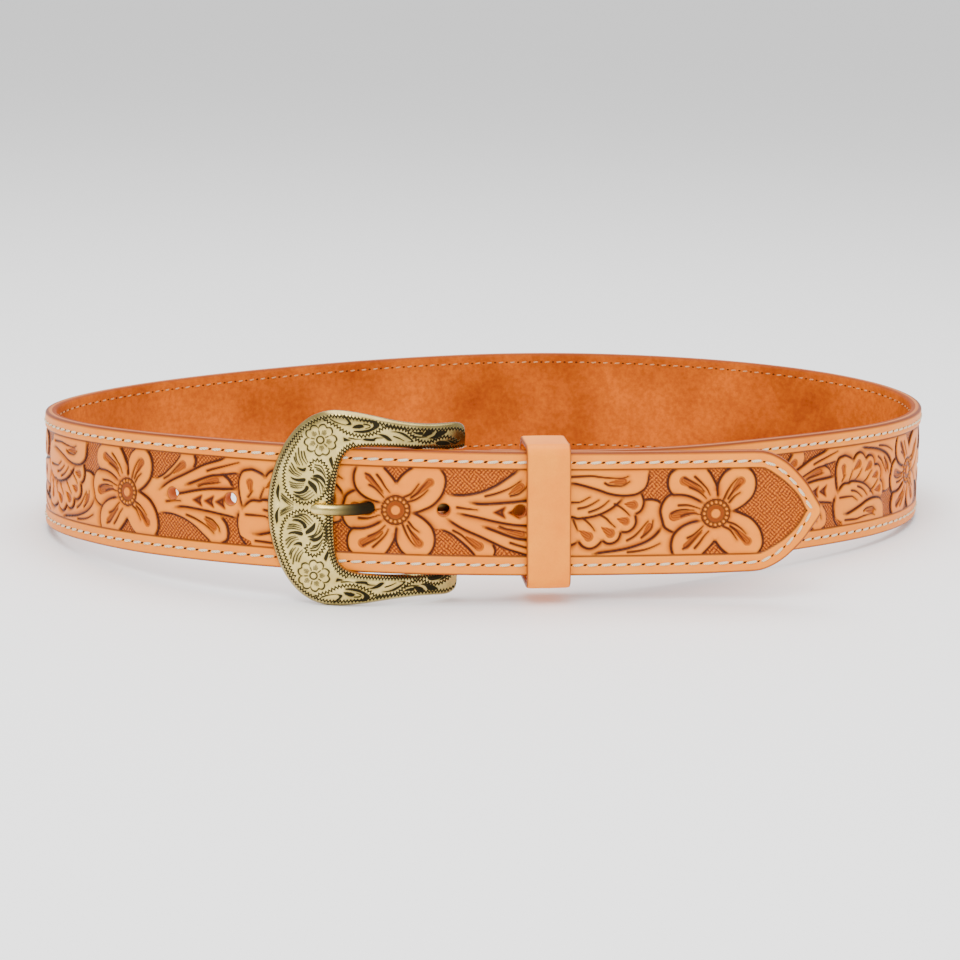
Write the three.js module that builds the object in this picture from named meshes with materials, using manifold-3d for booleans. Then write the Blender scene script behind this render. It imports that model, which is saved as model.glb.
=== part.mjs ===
// Western tooled belt, fastened, standing on its lower edge and on the buckle.
// Millimetres, +Z up, the buckle toward -Y, floor at z = 0.
import * as THREE from 'three';
import Module from 'manifold-3d';

const wasm = await Module();
wasm.setup();

// Sizes
const strap = { width: 44.5, leather: 2.8, lining: 1.3, gap: 0.3, bevel: 0.5, panelInset: 6.1, panelDepth: 0.35 };
const fold = { halfWidth: 20.2, barRadius: 1.5, radius: 1.75, flapLength: 58, flapOffset: 4.8, endThickness: 1.8 };
const holes = { spacing: 25.4, count: 6, used: 4, radius: 2.3, rise: 1, usedAcross: 4.9, usedHigh: 5, usedSlant: 45 };
const tip = { pastHole: 161.5 };
const buckle = { reach: 27.982, pivotU: 5, pivotH: 22.3, tiltDeg: 2, barHalf: 24.2 };
const keeper = { pastHole: 63.2, width: 16, wall: 2, clearOut: 0.6, clearTop: 0.9, clearBottom: 3, corner: 4.5, skew: -0.08, lean: -0.03 };
const post = { headRadius: 4, head: 0.8, seat: 0.5, shaftRadius: 1.9, backHead: 1.1 };

// Plan of the strap's outer face: control points of a cubic B-spline, from the heel bar once round to the tip
// columns: x, y, height of the lower edge
const plan = [
  [-47, -15.2, 12.6],
  [-12.9, -12.2, 11.2],
  [19.3, -4.6, 9.8],
  [49.4, 7.8, 8.5],
  [77.1, 24.9, 7.3],
  [102.8, 45.3, 6.4],
  [127.5, 66.9, 5.4],
  [150.4, 90.3, 4.2],
  [168.3, 117.5, 2.8],
  [179, 148.7, 1.3],
  [181.4, 182.4, 0.2],
  [172.8, 214.6, -0.1],
  [151.6, 239.1, 0.4],
  [121.2, 251.4, 1.7],
  [87.8, 253.9, 3.1],
  [54.7, 252.1, 4.1],
  [22.4, 248.2, 4.4],
  [-9.3, 241.2, 4],
  [-40.3, 230.9, 3.2],
  [-70.6, 218.4, 2.2],
  [-99.8, 203.8, 1.1],
  [-127.2, 185.8, 0.3],
  [-151.3, 163.1, -0.1],
  [-169.1, 135, 0.2],
  [-176, 103, 1.5],
  [-169.8, 70.9, 3.6],
  [-153.5, 41.8, 6.3],
  [-131.5, 16.9, 9],
  [-105.2, -2.8, 11.2],
  [-75.1, -15.3, 12.2],
  [-42.6, -20, 12.3],
  [-9.9, -18, 11.8],
  [22.4, -12.1, 11],
  [54.5, -6.1, 10.8],
  [86.8, -1.9, 11.3],
  [119.5, 0.4, 12.3],
  [152.4, 0.8, 13.5],
];

// Tip of the strap
// columns: distance from the end, half width, half width of the sunk panel
const tipShape = [
  [0, 1.3, 0.3],
  [0.3, 2.2, 0.3],
  [1, 3.5, 0.3],
  [2, 5.1, 0.3],
  [3.5, 7.5, 0.3],
  [5, 9.8, 0.4],
  [8, 13.4, 5],
  [12, 17.3, 9.5],
  [17, 20.5, 13.5],
  [21, 21.9, 15.8],
  [25, 22.25, 16.15],
];

// Buckle frame, upper half from the leg's end round to the middle of the left bar
// columns: outer u, outer v, inner u, inner v (u from the used hole, v from the frame's middle)
const frameOutline = [
  [32.6, 27.9, 32.6, 23.1],
  [32.2, 29.6, 32.1, 22.8],
  [30.8, 30.8, 30.4, 22.7],
  [28.2, 31.4, 27.6, 22.7],
  [23, 31.3, 23, 22.8],
  [18, 31.3, 18, 23],
  [12.5, 31.7, 12.5, 23.1],
  [7, 32.4, 7.5, 23.1],
  [2, 33.3, 2.5, 23],
  [-3, 34.2, -2.5, 22.8],
  [-7.5, 34.8, -6, 22.3],
  [-11.5, 35.1, -8.5, 21.4],
  [-15.5, 35, -10.3, 19.8],
  [-19.5, 34, -11.4, 17.8],
  [-23.7, 31.8, -12.1, 15.5],
  [-27.3, 28.6, -12.6, 13],
  [-30.4, 24.6, -12.9, 10.7],
  [-33.1, 19.8, -13.2, 8.4],
  [-35.3, 14.2, -13.4, 5.8],
  [-36.9, 7.4, -13.5, 3],
  [-37.5, 0, -13.5, 0],
];

// Side curve of the frame
// columns: u, middle of the casting out from the strap's face, thickness
const frameSide = [
  [-37.5, 1.7, 2.2],
  [-30, 2.3, 2.8],
  [-20, 2.5, 3],
  [-10, 2.2, 3],
  [0, 1.1, 2.9],
  [8, -0.8, 2.8],
  [16, -3.8, 2.8],
  [23, -7.1, 2.8],
  [28.5, -10.3, 2.8],
  [31.5, -12.3, 2.6],
];

// Prong from its rounded tip, through the used hole, back to the heel bar
// columns: u, out from the strap's face, half thickness, half width
const prongPath = [
  [-20.6, 6.1, 0.5, 0.5],
  [-20.2, 6.1, 1.1, 1.2],
  [-19.2, 6.1, 1.6, 1.6],
  [-17, 6.1, 1.8, 1.8],
  [-13, 6, 1.8, 1.85],
  [-9.5, 5.1, 1.8, 1.85],
  [-6, 3.5, 1.7, 1.8],
  [-3, 0.8, 1.7, 1.8],
  [0, -2.1, 1.6, 1.8],
  [3, -4.7, 1.5, 1.8],
  [7, -6.3, 1.2, 1.9],
  [14, -6.8, 1.1, 2],
  [20, -7.2, 1, 2.1],
  [25, -7.6, 1, 2.1],
];

// Table lookup by its first column
function lookup(rows, value, column) {
  if (value <= rows[0][0]) return rows[0][column];
  for (let i = 1; i < rows.length; i++) {
    if (value <= rows[i][0]) {
      const share = (value - rows[i - 1][0]) / (rows[i][0] - rows[i - 1][0]);
      return rows[i - 1][column] + share * (rows[i][column] - rows[i - 1][column]);
    }
  }
  return rows[rows.length - 1][column];
}

// The plan curve, sampled finely by length
const spans = plan.length - 3;
function planPoint(t) {
  const i = Math.min(Math.floor(t), spans - 1);
  const f = t - i;
  const g = 1 - f;
  const w = [g * g * g / 6, (3 * f * f * f - 6 * f * f + 4) / 6, (-3 * f * f * f + 3 * f * f + 3 * f + 1) / 6, f * f * f / 6];
  const out = [0, 0, 0];
  for (let k = 0; k < 4; k++) {
    for (let c = 0; c < 3; c++) out[c] += w[k] * plan[i + k][c];
  }
  return out;
}
const samples = [];
{
  const count = spans * 60;
  let length = 0;
  let last = null;
  for (let k = 0; k <= count; k++) {
    const p = planPoint((k / count) * spans);
    if (last) length += Math.hypot(p[0] - last[0], p[1] - last[1]);
    samples.push([length, p[0], p[1], p[2]]);
    last = p;
  }
}

// The used hole lies a fixed reach ahead of the heel bar, where the path comes round to its own start again.
// The strap end runs on straight past the plan curve where it is longer.
const curveEnd = samples[samples.length - 1];
let meetsAt = 0;
{
  let nearest = Infinity;
  for (const [s, x, y] of samples) {
    const d = Math.hypot(x - samples[0][1], y - samples[0][2]);
    if (s > 0.7 * curveEnd[0] && d < nearest) {
      nearest = d;
      meetsAt = s;
    }
  }
  const before = samples[samples.length - 2];
  const share = 120 / (curveEnd[0] - before[0]);
  samples.push(curveEnd.map((value, c) => value + (value - before[c]) * share));
}
const holeAt = meetsAt - buckle.reach;
const pathLength = holeAt + tip.pastHole;

// Point and directions on the outer face at length s: along (ax, ay), out (nx, ny)
function at(s) {
  const p = [1, 2, 3].map((c) => lookup(samples, s, c));
  const a = [1, 2].map((c) => lookup(samples, Math.max(s - 1, 0), c));
  const b = [1, 2].map((c) => lookup(samples, Math.min(s + 1, pathLength), c));
  const size = Math.hypot(b[0] - a[0], b[1] - a[1]);
  const ax = (b[0] - a[0]) / size;
  const ay = (b[1] - a[1]) / size;
  return { x: p[0], y: p[1], z: p[2], ax, ay, nx: ay, ny: -ax };
}

// Closed solid through rings of points, with flat ends
function skin(rings, capShape) {
  const n = rings[0].length;
  const positions = rings.flat().flatMap((p) => p);
  const index = [];
  for (let r = 0; r < rings.length - 1; r++) {
    for (let k = 0; k < n; k++) {
      const a = r * n + k;
      const b = r * n + (k + 1) % n;
      index.push(a, b, a + n, b, b + n, a + n);
    }
  }
  const cap = THREE.ShapeUtils.triangulateShape(capShape.map((p) => new THREE.Vector2(p[0], p[1])), []);
  const end = (rings.length - 1) * n;
  for (const [a, b, c] of cap) {
    index.push(a, c, b);
    index.push(end + a, end + b, end + c);
  }
  const g = new THREE.BufferGeometry();
  g.setAttribute('position', new THREE.Float32BufferAttribute(positions, 3));
  g.setIndex(index);
  return facingOut(g);
}

// The basis (along, out, up) is left handed, so placed shapes are turned to face out again
function facingOut(g) {
  const p = g.getAttribute('position');
  const index = Array.from(g.getIndex().array);
  let volume = 0;
  const a = new THREE.Vector3();
  const b = new THREE.Vector3();
  const c = new THREE.Vector3();
  for (let i = 0; i < index.length; i += 3) {
    a.fromBufferAttribute(p, index[i]);
    b.fromBufferAttribute(p, index[i + 1]);
    c.fromBufferAttribute(p, index[i + 2]);
    volume += a.dot(b.cross(c));
  }
  if (volume < 0) {
    for (let i = 0; i < index.length; i += 3) {
      const t = index[i];
      index[i] = index[i + 1];
      index[i + 1] = t;
    }
    g.setIndex(index);
  }
  return g;
}

function toSolid(geometry) {
  const g = geometry.clone();
  g.deleteAttribute('normal');
  g.deleteAttribute('uv');
  const merged = weld(g);
  return new wasm.Manifold(new wasm.Mesh({
    numProp: 3,
    vertProperties: merged.positions,
    triVerts: merged.index,
  }));
}

// Merge equal corners
function weld(g) {
  const p = g.getAttribute('position');
  const source = g.getIndex() ? Array.from(g.getIndex().array) : Array.from({ length: p.count }, (_, i) => i);
  const seen = new Map();
  const positions = [];
  const index = [];
  for (const i of source) {
    const key = [p.getX(i), p.getY(i), p.getZ(i)].map((v) => Math.round(v * 1e4)).join(',');
    if (!seen.has(key)) {
      seen.set(key, positions.length / 3);
      positions.push(p.getX(i), p.getY(i), p.getZ(i));
    }
    index.push(seen.get(key));
  }
  const kept = [];
  for (let i = 0; i < index.length; i += 3) {
    const [a, b, c] = [index[i], index[i + 1], index[i + 2]];
    if (a !== b && b !== c && c !== a) kept.push(a, b, c);
  }
  return { positions: new Float32Array(positions), index: new Uint32Array(kept) };
}

function toGeometry(solid) {
  const mesh = solid.getMesh();
  const positions = [];
  for (let i = 0; i < mesh.vertProperties.length; i += mesh.numProp) {
    positions.push(mesh.vertProperties[i], mesh.vertProperties[i + 1], mesh.vertProperties[i + 2]);
  }
  const g = new THREE.BufferGeometry();
  g.setAttribute('position', new THREE.Float32BufferAttribute(positions, 3));
  g.setIndex(Array.from(mesh.triVerts));
  return g;
}

// Leather section: out from the face, height from the middle; the panel is sunk between two borders
function leatherSection(half, thick, panelHalf, depth) {
  const e = strap.bevel;
  const p = panelHalf;
  return [
    [-thick, -half + 0.3],
    [-thick + 0.3, -half],
    [-e, -half],
    [0, -half + e],
    [0, -p - 0.3],
    [-depth, -p],
    [-depth, p],
    [0, p + 0.3],
    [0, half - e],
    [-e, half],
    [-thick + 0.3, half],
    [-thick, half - 0.3],
  ];
}

const half = strap.width / 2;
const panelHalf = half - strap.panelInset;
const start = at(0);
const barDepth = strap.leather + fold.radius;
const bar = { x: start.x - start.nx * barDepth, y: start.y - start.ny * barDepth };

function ring(x, y, nx, ny, z, section) {
  return section.map(([o, h]) => [x + nx * o, y + ny * o, z + half + h]);
}

// Outer strap: flap, fold round the heel bar, once round, tip
const leatherRings = [];
const flapStations = [
  { s: fold.flapLength, thick: fold.endThickness },
  { s: fold.flapLength - 1.2, thick: strap.leather },
  { s: fold.flapLength - 9, thick: strap.leather },
  { s: 32, thick: strap.leather },
  { s: 22, thick: strap.leather },
  { s: 14, thick: strap.leather },
  { s: 9, thick: strap.leather },
  { s: 5, thick: strap.leather },
  { s: 2, thick: strap.leather },
];
const foldOffset = strap.leather + 2 * fold.radius;
for (const { s, thick } of flapStations) {
  const p = at(s);
  const ease = Math.min(s / 14, 1);
  const blend = ease * ease * (3 - 2 * ease);
  const face = foldOffset + (fold.flapOffset - foldOffset) * blend + thick;
  const section = leatherSection(fold.halfWidth, thick, fold.halfWidth - strap.panelInset, 0.02);
  leatherRings.push(ring(p.x - p.nx * face, p.y - p.ny * face, -p.nx, -p.ny, p.z, section));
}
for (let k = 0; k <= 8; k++) {
  const turn = (k / 8) * Math.PI;
  const nx = -Math.cos(turn) * start.nx - Math.sin(turn) * start.ax;
  const ny = -Math.cos(turn) * start.ny - Math.sin(turn) * start.ay;
  const section = leatherSection(fold.halfWidth, strap.leather, fold.halfWidth - strap.panelInset, 0.02);
  leatherRings.push(ring(bar.x + nx * barDepth, bar.y + ny * barDepth, nx, ny, start.z, section));
}
const stations = [5, 10, 16, 24, 34];
for (let s = 46; s < pathLength - 30; s += 11.8) stations.push(s);
for (const row of [...tipShape].reverse()) stations.push(pathLength - row[0]);
for (const s of stations) {
  const p = at(s);
  const d = pathLength - s;
  const widen = Math.min(Math.max((s - 5) / 11, 0), 1);
  const h = Math.min(lookup(tipShape, d, 1), fold.halfWidth + (half - fold.halfWidth) * widen);
  const inner = Math.min(lookup(tipShape, d, 2), h - strap.panelInset + (d < 30 ? 9 : 0));
  const depth = strap.panelDepth * Math.min(Math.max((d - 5) / 8, 0.05), 1) * Math.min(0.06 + s / 30, 1);
  leatherRings.push(ring(p.x, p.y, p.nx, p.ny, p.z, leatherSection(h, strap.leather, inner, depth)));
}
const capSection = leatherSection(half, strap.leather, panelHalf, strap.panelDepth);
let leather = toSolid(skin(leatherRings, capSection));

// Lining on the inner face
const liningRings = [];
const liningOut = -strap.leather - strap.gap;
const liningIn = liningOut - strap.lining;
for (const s of stations.slice(1)) {
  const p = at(s);
  const d = pathLength - s;
  const widen = Math.min(Math.max((s - 5) / 11, 0), 1);
  const h = Math.min(lookup(tipShape, d, 1), fold.halfWidth + (half - fold.halfWidth) * widen) - 0.1;
  const section = [
    [liningIn, -h + 0.3], [liningIn + 0.3, -h], [liningOut, -h],
    [liningOut, h], [liningIn + 0.3, h], [liningIn, h - 0.3],
  ];
  liningRings.push(ring(p.x, p.y, p.nx, p.ny, p.z, section));
}
let lining = toSolid(skin(liningRings, [[-1, -5], [-0.7, -5.3], [0, -5.3], [0, 5.3], [-0.7, 5.3], [-1, 5]]));

// Place local (u along, o out, h up from the lower edge) at length s
function frameAt(s) {
  const p = at(s);
  return new THREE.Matrix4().makeBasis(
    new THREE.Vector3(p.ax, p.ay, 0),
    new THREE.Vector3(p.nx, p.ny, 0),
    new THREE.Vector3(0, 0, 1),
  ).setPosition(p.x, p.y, p.z);
}

// Punched holes; the used one is drawn out by the prong
for (let k = 0; k < holes.count; k++) {
  const s = holeAt + (k + 1 - holes.used) * holes.spacing;
  const used = k + 1 === holes.used;
  const punch = new THREE.CylinderGeometry(holes.radius, holes.radius, 14, 16);
  if (used) {
    punch.scale(holes.usedAcross / 2 / holes.radius, 1, holes.usedHigh / 2 / holes.radius);
    punch.rotateZ(THREE.MathUtils.degToRad(holes.usedSlant));
    punch.translate(0.1, -0.7, 0);
  }
  punch.translate(0, -1.5, half + holes.rise);
  punch.applyMatrix4(frameAt(s));
  const cut = toSolid(facingOut(punch));
  leather = leather.subtract(cut);
  lining = lining.subtract(cut);
}

// Slot for the prong in the fold
{
  const slot = new THREE.BoxGeometry(11.5, 16, 6.2);
  slot.translate(-0.4, -barDepth, half + 1.3);
  slot.applyMatrix4(frameAt(0));
  leather = leather.subtract(toSolid(facingOut(slot)));
}

// Buckle: u along the strap from the used hole, o out from its face, h up from its lower edge
function onStrap(u, o, h) {
  const p = at(holeAt + u);
  return [p.x + p.nx * o, p.y + p.ny * o, p.z + h];
}
const barLocal = { u: 0, o: 0, h: start.z + half };
{
  let nearest = Infinity;
  for (let u = 15; u < 45; u += 0.05) {
    const p = at(holeAt + u);
    const reach = Math.hypot(bar.x - p.x, bar.y - p.y);
    if (reach < nearest) {
      nearest = reach;
      barLocal.u = u;
      barLocal.o = -reach;
      barLocal.h = start.z + half - p.z;
    }
  }
}

function tilted(u, v) {
  const c = Math.cos(THREE.MathUtils.degToRad(buckle.tiltDeg));
  const s = Math.sin(THREE.MathUtils.degToRad(buckle.tiltDeg));
  const du = u - buckle.pivotU;
  return [buckle.pivotU + du * c + v * s, buckle.pivotH - du * s + v * c];
}

const frameRings = [];
const wholeOutline = [
  ...frameOutline.slice(0, -1).map((r) => [...r]),
  [...frameOutline[frameOutline.length - 1]],
  ...frameOutline.slice(0, -1).reverse().map(([a, b, c, d]) => [a, -b, c, -d]),
];
for (const [ou, ov, iu, iv] of wholeOutline) {
  const points = [];
  const profile = [
    [0.1, -0.5], [0.9, -0.5], [1, -0.3], [0.95, 0.15], [0.84, 0.42], [0.5, 0.5], [0.16, 0.42], [0.05, 0.15], [0, -0.3],
  ];
  for (const [share, level] of profile) {
    const u = ou + (iu - ou) * share;
    const v = ov + (iv - ov) * share;
    const [lu, lh] = tilted(u, v);
    const o = lookup(frameSide, u, 1) + level * lookup(frameSide, u, 2);
    points.push(onStrap(lu, o, lh));
  }
  frameRings.push(points);
}
let frame = skin(frameRings, [[1, -5], [9, -5], [10, -3], [9.5, 1.5], [8.4, 4.2], [5, 5], [1.6, 4.2], [0.5, 1.5], [0, -3]]);
frame = toSolid(frame);
const heel = new THREE.CylinderGeometry(fold.barRadius, fold.barRadius, 2 * buckle.barHalf + 4, 16);
heel.rotateX(Math.PI / 2);
heel.translate(0, barLocal.o, barLocal.h);
heel.applyMatrix4(frameAt(holeAt + barLocal.u));
frame = frame.add(toSolid(facingOut(heel)));

// Prong
const prongRings = [];
const sides = 10;
function prongRing(u, o, dirU, dirO, thick, wide) {
  const points = [];
  for (let k = 0; k < sides; k++) {
    const a = (k / sides) * 2 * Math.PI;
    const t = Math.cos(a) * thick;
    points.push(onStrap(u - dirO * t, o + dirU * t, half + holes.rise + Math.sin(a) * wide));
  }
  return points;
}
const prongLine = prongPath.map((r) => [...r]);
const hookRadius = 1.75 + 1;
for (let k = 0; k <= 9; k++) {
  const a = Math.PI / 2 - (k / 9) * Math.PI * 1.62;
  const u = barLocal.u + Math.cos(a) * hookRadius;
  const o = barLocal.o + Math.sin(a) * hookRadius;
  prongLine.push([u, o, 1, 2.1]);
}
for (let k = 0; k < prongLine.length; k++) {
  const a = prongLine[Math.max(k - 1, 0)];
  const b = prongLine[Math.min(k + 1, prongLine.length - 1)];
  const size = Math.hypot(b[0] - a[0], b[1] - a[1]);
  const [u, o, thick, wide] = prongLine[k];
  prongRings.push(prongRing(u, o, (b[0] - a[0]) / size, (b[1] - a[1]) / size, thick, wide));
}
const round = Array.from({ length: sides }, (_, k) => [Math.cos(k / sides * 2 * Math.PI), Math.sin(k / sides * 2 * Math.PI)]);
const prong = skin(prongRings, round);

// Keeper: a closed leather loop round the tip strap, the buckle end and its flap
const keeperAt = holeAt + keeper.pastHole;
const keeperPlace = frameAt(keeperAt);
let deepest = 0;
for (let s = 0; s < 60; s += 1) {
  const p = at(s);
  const face = fold.flapOffset + strap.leather;
  const q = new THREE.Vector3(p.x - p.nx * face, p.y - p.ny * face, 0).applyMatrix4(keeperPlace.clone().invert());
  if (Math.abs(q.x) < keeper.width / 2 + 0.5) deepest = Math.min(deepest, q.y);
}
const loopBack = deepest - keeper.clearOut;
function roundedLoop(outMin, outMax, hMin, hMax, r) {
  const points = [];
  const centres = [[outMax - r, hMax - r, 0], [outMin + r, hMax - r, 90], [outMin + r, hMin + r, 180], [outMax - r, hMin + r, 270]];
  for (const [o, h, from] of centres) {
    for (let k = 0; k <= 4; k++) {
      const a = THREE.MathUtils.degToRad(from + k * 22.5);
      points.push([o + Math.cos(a) * r, h + Math.sin(a) * r]);
    }
  }
  return points;
}
const w = keeper.wall;
const inside = roundedLoop(loopBack, keeper.clearOut, -keeper.clearBottom, strap.width + keeper.clearTop, keeper.corner - w);
const outside = roundedLoop(loopBack - w, keeper.clearOut + w, -keeper.clearBottom - w, strap.width + keeper.clearTop + w, keeper.corner);
const keeperRings = [];
for (let k = 0; k <= inside.length; k++) {
  const i = inside[k % inside.length];
  const o = outside[k % inside.length];
  const hw = keeper.width / 2;
  const mix = (t) => [o[0] + (i[0] - o[0]) * t, o[1] + (i[1] - o[1]) * t];
  const [m, q] = [mix(0.2), mix(0.8)];
  const corners = [
    [-hw, m], [-hw + 0.4, o], [hw - 0.4, o], [hw, m],
    [hw, q], [hw - 0.4, i], [-hw + 0.4, i], [-hw, q],
  ];
  keeperRings.push(corners.map(([u, p]) => [u + keeper.skew * p[0] + keeper.lean * p[1], p[0], p[1]]));
}
const keeperLoop = closedSkin(keeperRings.slice(0, -1));
keeperLoop.applyMatrix4(keeperPlace);
facingOut(keeperLoop);

// Solid through rings that close on themselves
function closedSkin(rings) {
  const n = rings[0].length;
  const positions = rings.flat().flatMap((p) => p);
  const index = [];
  for (let r = 0; r < rings.length; r++) {
    const next = ((r + 1) % rings.length) * n;
    for (let k = 0; k < n; k++) {
      const a = r * n + k;
      const b = r * n + (k + 1) % n;
      const c = next + k;
      const d = next + (k + 1) % n;
      index.push(a, b, c, b, d, c);
    }
  }
  const g = new THREE.BufferGeometry();
  g.setAttribute('position', new THREE.Float32BufferAttribute(positions, 3));
  g.setIndex(index);
  return facingOut(g);
}

// Two plain screw posts that hold the flap, hidden behind the tip of the strap
// columns: length along the strap, name
const posts = [
  [15, 'fold_post_1'],
  [51.4, 'fold_post_2'],
];
const postMeshes = [];
for (const [s, name] of posts) {
  const inner = -(fold.flapOffset + strap.leather) - post.seat;
  const profile = [
    [0, post.seat + post.head], [post.headRadius - 0.3, post.seat + post.head], [post.headRadius, post.seat + post.head - 0.3],
    [post.headRadius, post.seat], [post.shaftRadius, post.seat], [post.shaftRadius, inner],
    [post.headRadius, inner], [post.headRadius, inner - post.backHead + 0.4], [post.headRadius - 0.5, inner - post.backHead],
    [0, inner - post.backHead],
  ].map((p) => new THREE.Vector2(p[0], p[1])).reverse();
  const g = new THREE.LatheGeometry(profile, 16);
  g.translate(0, 0, half);
  g.applyMatrix4(frameAt(s));
  const bore = new THREE.CylinderGeometry(post.shaftRadius + 0.3, post.shaftRadius + 0.3, 11, 16);
  bore.translate(0, -4.6, half);
  bore.applyMatrix4(frameAt(s));
  const cut = toSolid(facingOut(bore));
  leather = leather.subtract(cut);
  lining = lining.subtract(cut);
  postMeshes.push([name, toGeometry(toSolid(lathed(g)))]);
}

// A lathed shape with its seam welded
function lathed(g) {
  const merged = weld(g);
  const out = new THREE.BufferGeometry();
  out.setAttribute('position', new THREE.Float32BufferAttribute(Array.from(merged.positions), 3));
  out.setIndex(Array.from(merged.index));
  return facingOut(out);
}

const group = new THREE.Group();
group.name = 'western_tooled_belt';
function add(name, geometry) {
  const mesh = new THREE.Mesh(geometry, new THREE.MeshStandardMaterial());
  mesh.name = name;
  group.add(mesh);
}
add('strap_outer', toGeometry(leather));
add('strap_lining', toGeometry(lining));
add('buckle_frame', toGeometry(frame));
add('prong', prong);
add('keeper_loop', keeperLoop);
for (const [name, geometry] of postMeshes) add(name, geometry);

// Origin under the middle of the belt's box
const box = new THREE.Box3().setFromObject(group);
const middle = box.getCenter(new THREE.Vector3());
for (const mesh of group.children) mesh.geometry.translate(-middle.x, -middle.y, -box.min.z);

export default group;
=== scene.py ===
"""A hand tooled leather belt, buckled and resting on its lower edge, as its CAD frame has it.

Lengths in the tables are millimetres. Along the strap, s runs from the fold at the buckle's heel bar once
round to the tip, h runs up from the strap's lower edge, and o runs out from the strap's outer face.
"""
import math

import bpy
import numpy as np
from mathutils import Matrix, Vector


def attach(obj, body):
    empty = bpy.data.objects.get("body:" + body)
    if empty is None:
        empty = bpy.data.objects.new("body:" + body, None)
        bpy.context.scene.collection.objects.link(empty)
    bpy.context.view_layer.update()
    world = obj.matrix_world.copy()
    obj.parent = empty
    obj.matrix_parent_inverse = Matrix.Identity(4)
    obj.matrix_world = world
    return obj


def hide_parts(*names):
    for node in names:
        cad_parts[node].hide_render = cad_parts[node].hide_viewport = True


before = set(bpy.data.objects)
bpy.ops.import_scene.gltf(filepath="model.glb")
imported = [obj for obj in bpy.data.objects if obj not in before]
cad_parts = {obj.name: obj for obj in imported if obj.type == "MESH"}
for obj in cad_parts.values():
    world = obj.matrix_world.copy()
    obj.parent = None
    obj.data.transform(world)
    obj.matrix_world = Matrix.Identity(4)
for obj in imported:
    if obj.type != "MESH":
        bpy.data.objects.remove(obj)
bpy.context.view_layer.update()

MM = 0.001
WIDTH = 44.5
HALF = WIDTH / 2
LEATHER = 2.8
LINING = 1.6
BOTH = LEATHER + LINING
# Radius over which the outer leather's edge is rounded
EDGE_TURN = 1.15
# Repeat of the tooling, its border's inset, how much lower the lower border lies, and the flowers' height
UNIT = 115.5
PANEL_INSET = 6.1
PANEL_LOW = 0.7
FLOWER_RISE = 21.8
TOOLING_FROM = 62
# Cell sizes of the sheets that hold the tooling and the buckle's hatching
TOOL_PITCH = 0.1
HATCH_PITCH = 0.08
STITCH_INSET = 3.6
STITCH_PITCH = 5.3
# Reach of the heel bar and of the tip from the used hole
HEEL_REACH = 27.982
TIP_PAST_HOLE = 161.5
HOLE_RADIUS = 2.3
HOLE_RISE = 1.0
HOLE_SPACING = 25.4
USED_HOLE = 3
# The narrower end: its half width, where it starts to widen and over what length
FOLD_HALF = 20.2
WIDEN_FROM = 5
WIDEN_OVER = 11
# The flap that is turned back: its length, its flesh side's depth and its bend's radius round the heel bar
FLAP_LONG = 58
FLAP_DEPTH = 4.8
BEND_RADIUS = 1.75
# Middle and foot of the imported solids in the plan's own coordinates
CENTRE = np.array([3.0881, 113.6876, 0.0238])

# Plan of the strap's outer face. Columns: x, y, rise of the lower edge
PLAN = np.array([
    (-47, -15.2, 12.6), (-12.9, -12.2, 11.2), (19.3, -4.6, 9.8), (49.4, 7.8, 8.5), (77.1, 24.9, 7.3),
    (102.8, 45.3, 6.4), (127.5, 66.9, 5.4), (150.4, 90.3, 4.2), (168.3, 117.5, 2.8), (179, 148.7, 1.3),
    (181.4, 182.4, 0.2), (172.8, 214.6, -0.1), (151.6, 239.1, 0.4), (121.2, 251.4, 1.7), (87.8, 253.9, 3.1),
    (54.7, 252.1, 4.1), (22.4, 248.2, 4.4), (-9.3, 241.2, 4), (-40.3, 230.9, 3.2), (-70.6, 218.4, 2.2),
    (-99.8, 203.8, 1.1), (-127.2, 185.8, 0.3), (-151.3, 163.1, -0.1), (-169.1, 135, 0.2), (-176, 103, 1.5),
    (-169.8, 70.9, 3.6), (-153.5, 41.8, 6.3), (-131.5, 16.9, 9), (-105.2, -2.8, 11.2), (-75.1, -15.3, 12.2),
    (-42.6, -20, 12.3), (-9.9, -18, 11.8), (22.4, -12.1, 11), (54.5, -6.1, 10.8), (86.8, -1.9, 11.3),
    (119.5, 0.4, 12.3), (152.4, 0.8, 13.5),
])

# Outline of the strap's tip. Columns: distance from the end, half width, half width of the tooled panel
TIP = np.array([
    (0, 1.3, -3), (0.3, 2.2, -3), (1, 3.5, -3), (2, 5.1, -3), (3.5, 7.5, -3), (5, 9.8, -0.4), (8, 13.4, 5),
    (12, 17.3, 9.5), (17, 20.5, 13.5), (21, 21.9, 15.8), (25, 22.25, 16.15),
])


def spline_weights(t, spans):
    """Index of the first control point and the four uniform cubic B-spline weights at each t."""
    first = np.minimum(t.astype(int), spans - 1)
    f = t - first
    w = np.stack([(1 - f) ** 3, 3 * f ** 3 - 6 * f ** 2 + 4,
                  -3 * f ** 3 + 3 * f ** 2 + 3 * f + 1, f ** 3], 1) / 6
    return first, w


def run_length(points):
    """Length along a line of points up to each of them."""
    return np.concatenate([[0], np.cumsum(np.hypot(*np.diff(points, axis=0).T))])


def plan_path():
    """Length, place and unit direction along the strap's outer face, sampled from the plan's B-spline."""
    spans = len(PLAN) - 3
    first, w = spline_weights(np.linspace(0, spans, spans * 120 + 1), spans)
    points = sum(w[:, k:k + 1] * PLAN[first + k] for k in range(4)) - CENTRE
    length = run_length(points[:, :2])
    along = np.gradient(points[:, :2], length, axis=0)
    along /= np.linalg.norm(along, axis=1, keepdims=True)
    return length, points, along


PATH_S, PATH_P, PATH_T = plan_path()


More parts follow.
